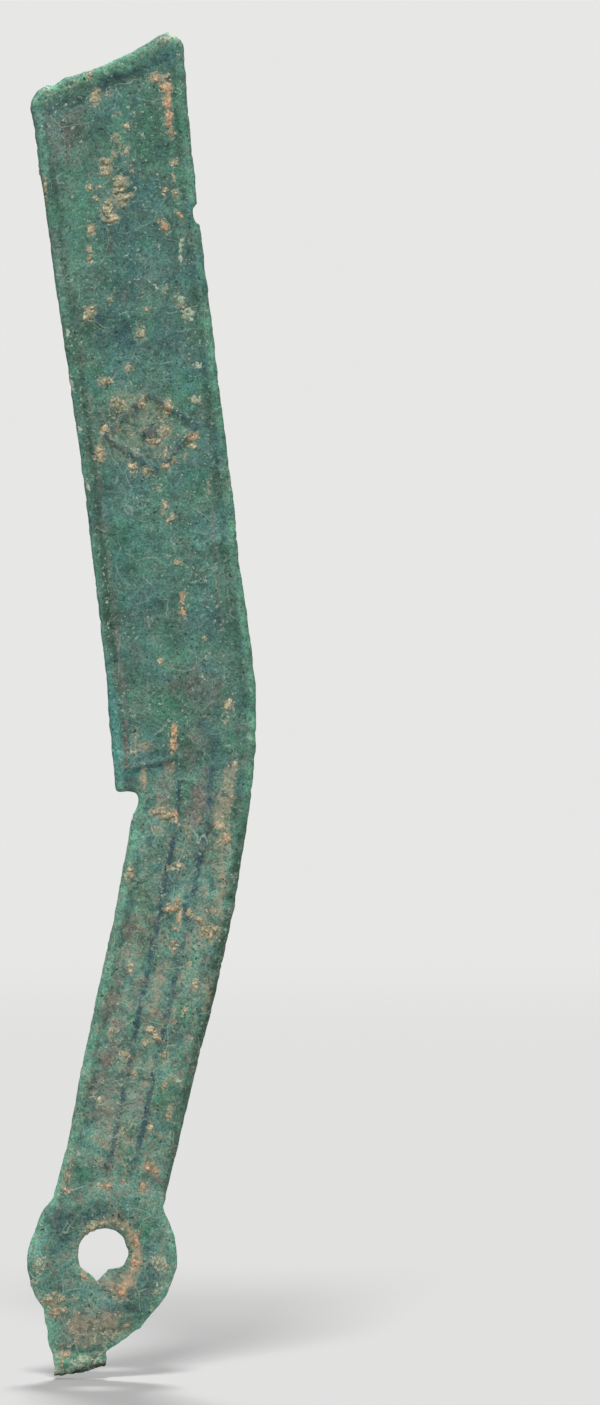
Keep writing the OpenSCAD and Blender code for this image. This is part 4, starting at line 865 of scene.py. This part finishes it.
thread = patina.times(thread, patina.band(patina.lumps(1.8, 2, 16), 0.48, 0.56))
thread = patina.times(thread, patina.band(patina.skin("dusty"), 0, 1, 0.65, 1.0))
for bits, tint, share in (
    (crumb, shade(178, 190, 166), 0.85),
    (sprinkle, shade(204, 186, 158), 0.8),
    (fine_fleck, shade(156, 176, 156), 0.75),
    (fleck, shade(180, 188, 170), 0.8),
    (black_pit, shade(34, 50, 46), 0.8),
    (thread, shade(172, 184, 164), 0.55),
):
    colour = patina.over(colour, tint, patina.times(bits, share))
fresh_break = patina.times(patina.skin("broken"), patina.band(mottle, 0.35, 0.6, 0.5, 0.95))
colour = patina.over(colour, shade(40, 38, 36), fresh_break)
raised_bits = patina.plus(patina.plus(crumb, fleck), sprinkle)
raised_bits = patina.maths("SUBTRACT", patina.plus(raised_bits, fine_fleck), black_pit)
patina.surface({
    "Base Color": colour, "Roughness": patina.band(mix, 0.4, 0.6, 0.58, 0.78), "Specular IOR Level": 0.25,
    "Normal": patina.relief(
        (mottle, 0.10, 0.7), (grain, 0.10, 0.8), (speckle, 0.03, 0.8), (raised_bits, 0.06, 0.8),
    ),
})


def cut_from_casting(name, low, high, *nodes):
    # Takes the stretch of the casting between two heights up the handle's axis.
    piece = bmesh.new()
    piece.from_mesh(skin)
    up = Vector((handle_up[0], 0, handle_up[1]))
    for height, below in ((low, True), (high, False)):
        if height is None:
            continue
        cut_place = Vector((handle_base[0], 0, handle_base[1])) * mm + up * height * mm
        cut = bmesh.ops.bisect_plane(
            piece, geom=piece.verts[:] + piece.edges[:] + piece.faces[:], dist=2e-6,
            plane_co=cut_place, plane_no=up, clear_inner=below, clear_outer=not below,
        )
        cut_edges = [part for part in cut["geom_cut"] if isinstance(part, bmesh.types.BMEdge)]
        bmesh.ops.edgeloop_fill(piece, edges=cut_edges)
    mesh = mesh_from(piece, name)
    mesh.materials.append(patina.material)
    mesh.shade_smooth()
    turned = np.empty(len(mesh.vertices) * 3, np.float32)
    mesh.attributes["skin_facing"].data.foreach_get("vector", turned)
    mesh.attributes.remove(mesh.attributes["skin_facing"])
    mesh.normals_split_custom_set_from_vertices(turned.reshape(-1, 3).tolist())
    cast = in_scene(name, mesh)
    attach(cast, "root")
    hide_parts(*nodes)


heel_cut, ring_cut, gate_cut = 47.2, 7.9, -7.9
cut_from_casting("cast_blade", heel_cut, None, "blade", "obverse_mark", "reverse_mark")
cut_from_casting("cast_handle", ring_cut, heel_cut, "handle", "obverse_ribs", "reverse_ribs")
cut_from_casting("cast_ring", gate_cut, ring_cut, "ring")
cut_from_casting("cast_gate", None, gate_cut, "gate_neck", "gate_stub")

# Earth crusts: clods of sandy clay and lime, each a low dome grown onto the skin that
# dips into the bronze at its rim.
earth = Finish("burial_earth_crust")
clod = earth.lumps(0.8, 3, 21)
sand = earth.lumps(0.22, 3, 22)
loam = earth.plus(earth.times(clod, 0.35), earth.times(sand, 0.65))
tan = earth.ramp(
    loam, (0.36, shade(108, 108, 89)), (0.46, shade(152, 147, 121)),
    (0.54, shade(188, 178, 148)), (0.64, shade(224, 210, 180)),
)
rust = earth.ramp(
    loam, (0.36, shade(122, 98, 78)), (0.46, shade(186, 142, 110)),
    (0.54, shade(214, 168, 134)), (0.64, shade(234, 196, 164)),
)
pale = earth.ramp(
    loam, (0.38, shade(112, 134, 112)), (0.50, shade(156, 172, 148)), (0.62, shade(196, 206, 184)),
)
colour = tan
for layer, share in (
    (rust, earth.band(earth.skin("warmth"), 0.15, 1.2)),
    (pale, earth.band(earth.skin("warmth"), -0.2, -0.9)),
    (shade(94, 122, 104), earth.band(earth.lumps(0.7, 4, 23), 0.50, 0.62, 0, 0.5)),
    (shade(108, 126, 106), earth.band(earth.skin("crust"), 0.3, 0.0, 0, 0.6)),
    (shade(60, 68, 56), earth.band(earth.lumps(0.34, 2, 24), 0.62, 0.72, 0, 0.7)),
):
    colour = earth.over(colour, layer, share)
earth.surface({
    "Base Color": colour, "Roughness": earth.band(clod, 0.3, 0.7, 0.85, 0.95), "Specular IOR Level": 0.15,
    "Normal": earth.relief((sand, 0.10, 1.0)),
})

crust_start, full_growth, dip_start, dip_span = -0.12, 0.5, 0.1, 0.4
shell_thickness, rim_dip, least_lift, clod_size, sand_size = 0.08, 0.05, 0.01, 0.5, 0.22
crusted = crust[quads].max(axis=1) > crust_start


def crust_piece(name, chosen, *nodes):
    # Takes the chosen quads of the skin, finer, and lifts them into domes with sandy tops.
    piece = bmesh.new()
    piece.from_mesh(skin)
    bare = [face for face, kept in zip(piece.faces, chosen & crusted) if not kept]
    while bare:
        bmesh.ops.delete(piece, geom=bare, context="FACES")
        pinched = [vert for vert in piece.verts if sum(edge.is_boundary for edge in vert.link_edges) > 2]
        bare = list(dict.fromkeys(face for vert in pinched for face in vert.link_faces))
    bmesh.ops.subdivide_edges(piece, edges=piece.edges, cuts=1, use_grid_fill=True)
    layers = piece.verts.layers
    for vert in piece.verts:
        growth, height = vert[layers.float["crust"]], vert[layers.float["crust_height"]]
        place = vert.co / mm
        dome = 1 - (1 - min(max(growth / full_growth, 0), 1)) ** 2
        sandy_top = 0.7 + 0.5 * noise.noise(place / clod_size) + 0.45 * noise.noise(place / sand_size)
        sunk = min(max((dip_start - growth) / dip_span, 0), 1)
        rise = height * dome * sandy_top + least_lift - rim_dip * sunk
        vert.co += vert[layers.float_vector["skin_facing"]] * rise * mm
    bmesh.ops.solidify(piece, geom=piece.faces[:], thickness=shell_thickness * mm)
    bmesh.ops.recalc_face_normals(piece, faces=piece.faces)
    shell = mesh_from(piece, name)
    for layer in list(shell.attributes):
        if layer.domain == "POINT" and layer.name not in ("position", "warmth", "crust"):
            shell.attributes.remove(layer)
    shell.materials.append(earth.material)
    shell.shade_smooth()
    cap = in_scene(name, shell)
    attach(cap, "root")
    if nodes:
        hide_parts(*nodes)


quad_up = up_handle[quads].mean(axis=1)
obverse_quads = facing[quads, 1].mean(axis=1) < 0
blade_quads, ring_quads = quad_up > heel_cut, quad_up <= ring_cut
handle_quads = ~blade_quads & ~ring_quads
crust_piece("blade_obverse_crust", obverse_quads & blade_quads, "blade_obverse_earth")
crust_piece("blade_reverse_crust", ~obverse_quads & blade_quads, "blade_reverse_earth")
crust_piece("handle_obverse_crust", obverse_quads & handle_quads, "handle_obverse_earth")
crust_piece("handle_reverse_crust", ~obverse_quads & handle_quads, "handle_reverse_earth")
crust_piece("ring_crust", ring_quads)
bpy.data.meshes.remove(skin)


# The stage: a wide pale floor of paper under the knife, which fades into the pale
# surround wherever it is looked at.
def looked_at(tree):
    # 1 for rays from the camera, straight or by way of a shiny or clear surface, 0 for others.
    path = new_node(tree, "LightPath", {}).outputs
    total = path["Is Camera Ray"]
    for ray in ("Is Glossy Ray", "Is Transmission Ray"):
        total = new_node(tree, "Math", {0: total, 1: path[ray]}, operation="ADD", use_clamp=True).outputs[0]
    return total


def show_mixed(tree, output, share, first, second):
    # Sends two shaders to the output, the second by a share.
    node = new_node(tree, "MixShader", {0: share, 1: first.outputs[0], 2: second.outputs[0]})
    wired(tree, tree.nodes[output], {"Surface": node.outputs[0]})


floor_level, floor_radius, surround = solid_box[0].z, 8, 0.80
disc = bmesh.new()
bmesh.ops.create_circle(disc, cap_ends=True, segments=96, radius=floor_radius)
bmesh.ops.translate(disc, verts=disc.verts, vec=Vector((0, 0, floor_level)))
floor = in_scene("floor", mesh_from(disc, "floor"))
paper = Finish("pale_paper")
sheet = paper.surface({"Base Color": (0.43, 0.43, 0.427, 1), "Roughness": 0.95, "Specular IOR Level": 0})
glow = new_node(paper.tree, "Emission", {"Color": (surround, surround, surround * 0.99, 1)})
reach = new_node(paper.tree, "VectorMath", {0: paper.place}, operation="LENGTH").outputs["Value"]
fade = paper.times(paper.band(reach, 0.12, 0.9), looked_at(paper.tree))
show_mixed(paper.tree, "Material Output", fade, sheet, glow)
floor.data.materials.append(paper.material)


# Soft studio light: a broad lamp high in front, another high behind, and a pale
# surround that fills the shadows.
def softbox(name, place, aim, size, power):
    lamp = bpy.data.lights.new(name, "AREA")
    lamp.shape = "RECTANGLE"
    lamp.size, lamp.size_y = size
    lamp.energy = power
    holder = in_scene(name, lamp)
    holder.location = place
    holder.rotation_euler = (Vector(aim) - Vector(place)).to_track_quat("-Z", "Y").to_euler()


middle, lamp_size, lamp_power, fill_strength = (0.004, 0, 0.057), (0.32, 0.24), 13, 0.30
softbox("front_softbox", (-0.04, -0.62, 1.06), middle, lamp_size, lamp_power)
softbox("rear_softbox", (0.04, 0.62, 1.06), middle, lamp_size, lamp_power)
world = bpy.data.worlds.new("pale_surround")
bpy.context.scene.world = world
world.use_nodes = True
sky = world.node_tree
backdrop = wired(sky, sky.nodes["Background"], {"Color": (1, 1, 0.99, 1), "Strength": surround})
fill = new_node(sky, "Background", {"Color": (1, 1, 1, 1), "Strength": fill_strength})
show_mixed(sky, "World Output", looked_at(sky), fill, backdrop)

# The camera looks straight at the obverse through a long lens, with the photograph's
# frame: the hole's middle lies left of and below the middle of the picture.
picture_width, picture_height, mm_per_pixel = 600, 1405, 0.1044
hole_pixel_x, hole_pixel_y = 102.5, 1254
lens = bpy.data.cameras.new("camera")
lens.lens, lens.sensor_width = 135, 36
view_height = picture_height * mm_per_pixel * mm
eye = in_scene("camera", lens)
eye.location = (
    (picture_width / 2 - hole_pixel_x) * mm_per_pixel * mm,
    -view_height * lens.lens / lens.sensor_width,
    (hole_pixel_y - picture_height / 2) * mm_per_pixel * mm,
)
eye.rotation_euler = (math.pi / 2, 0, 0)
bpy.context.scene.camera = eye
bpy.context.scene.view_settings.view_transform = "Standard"
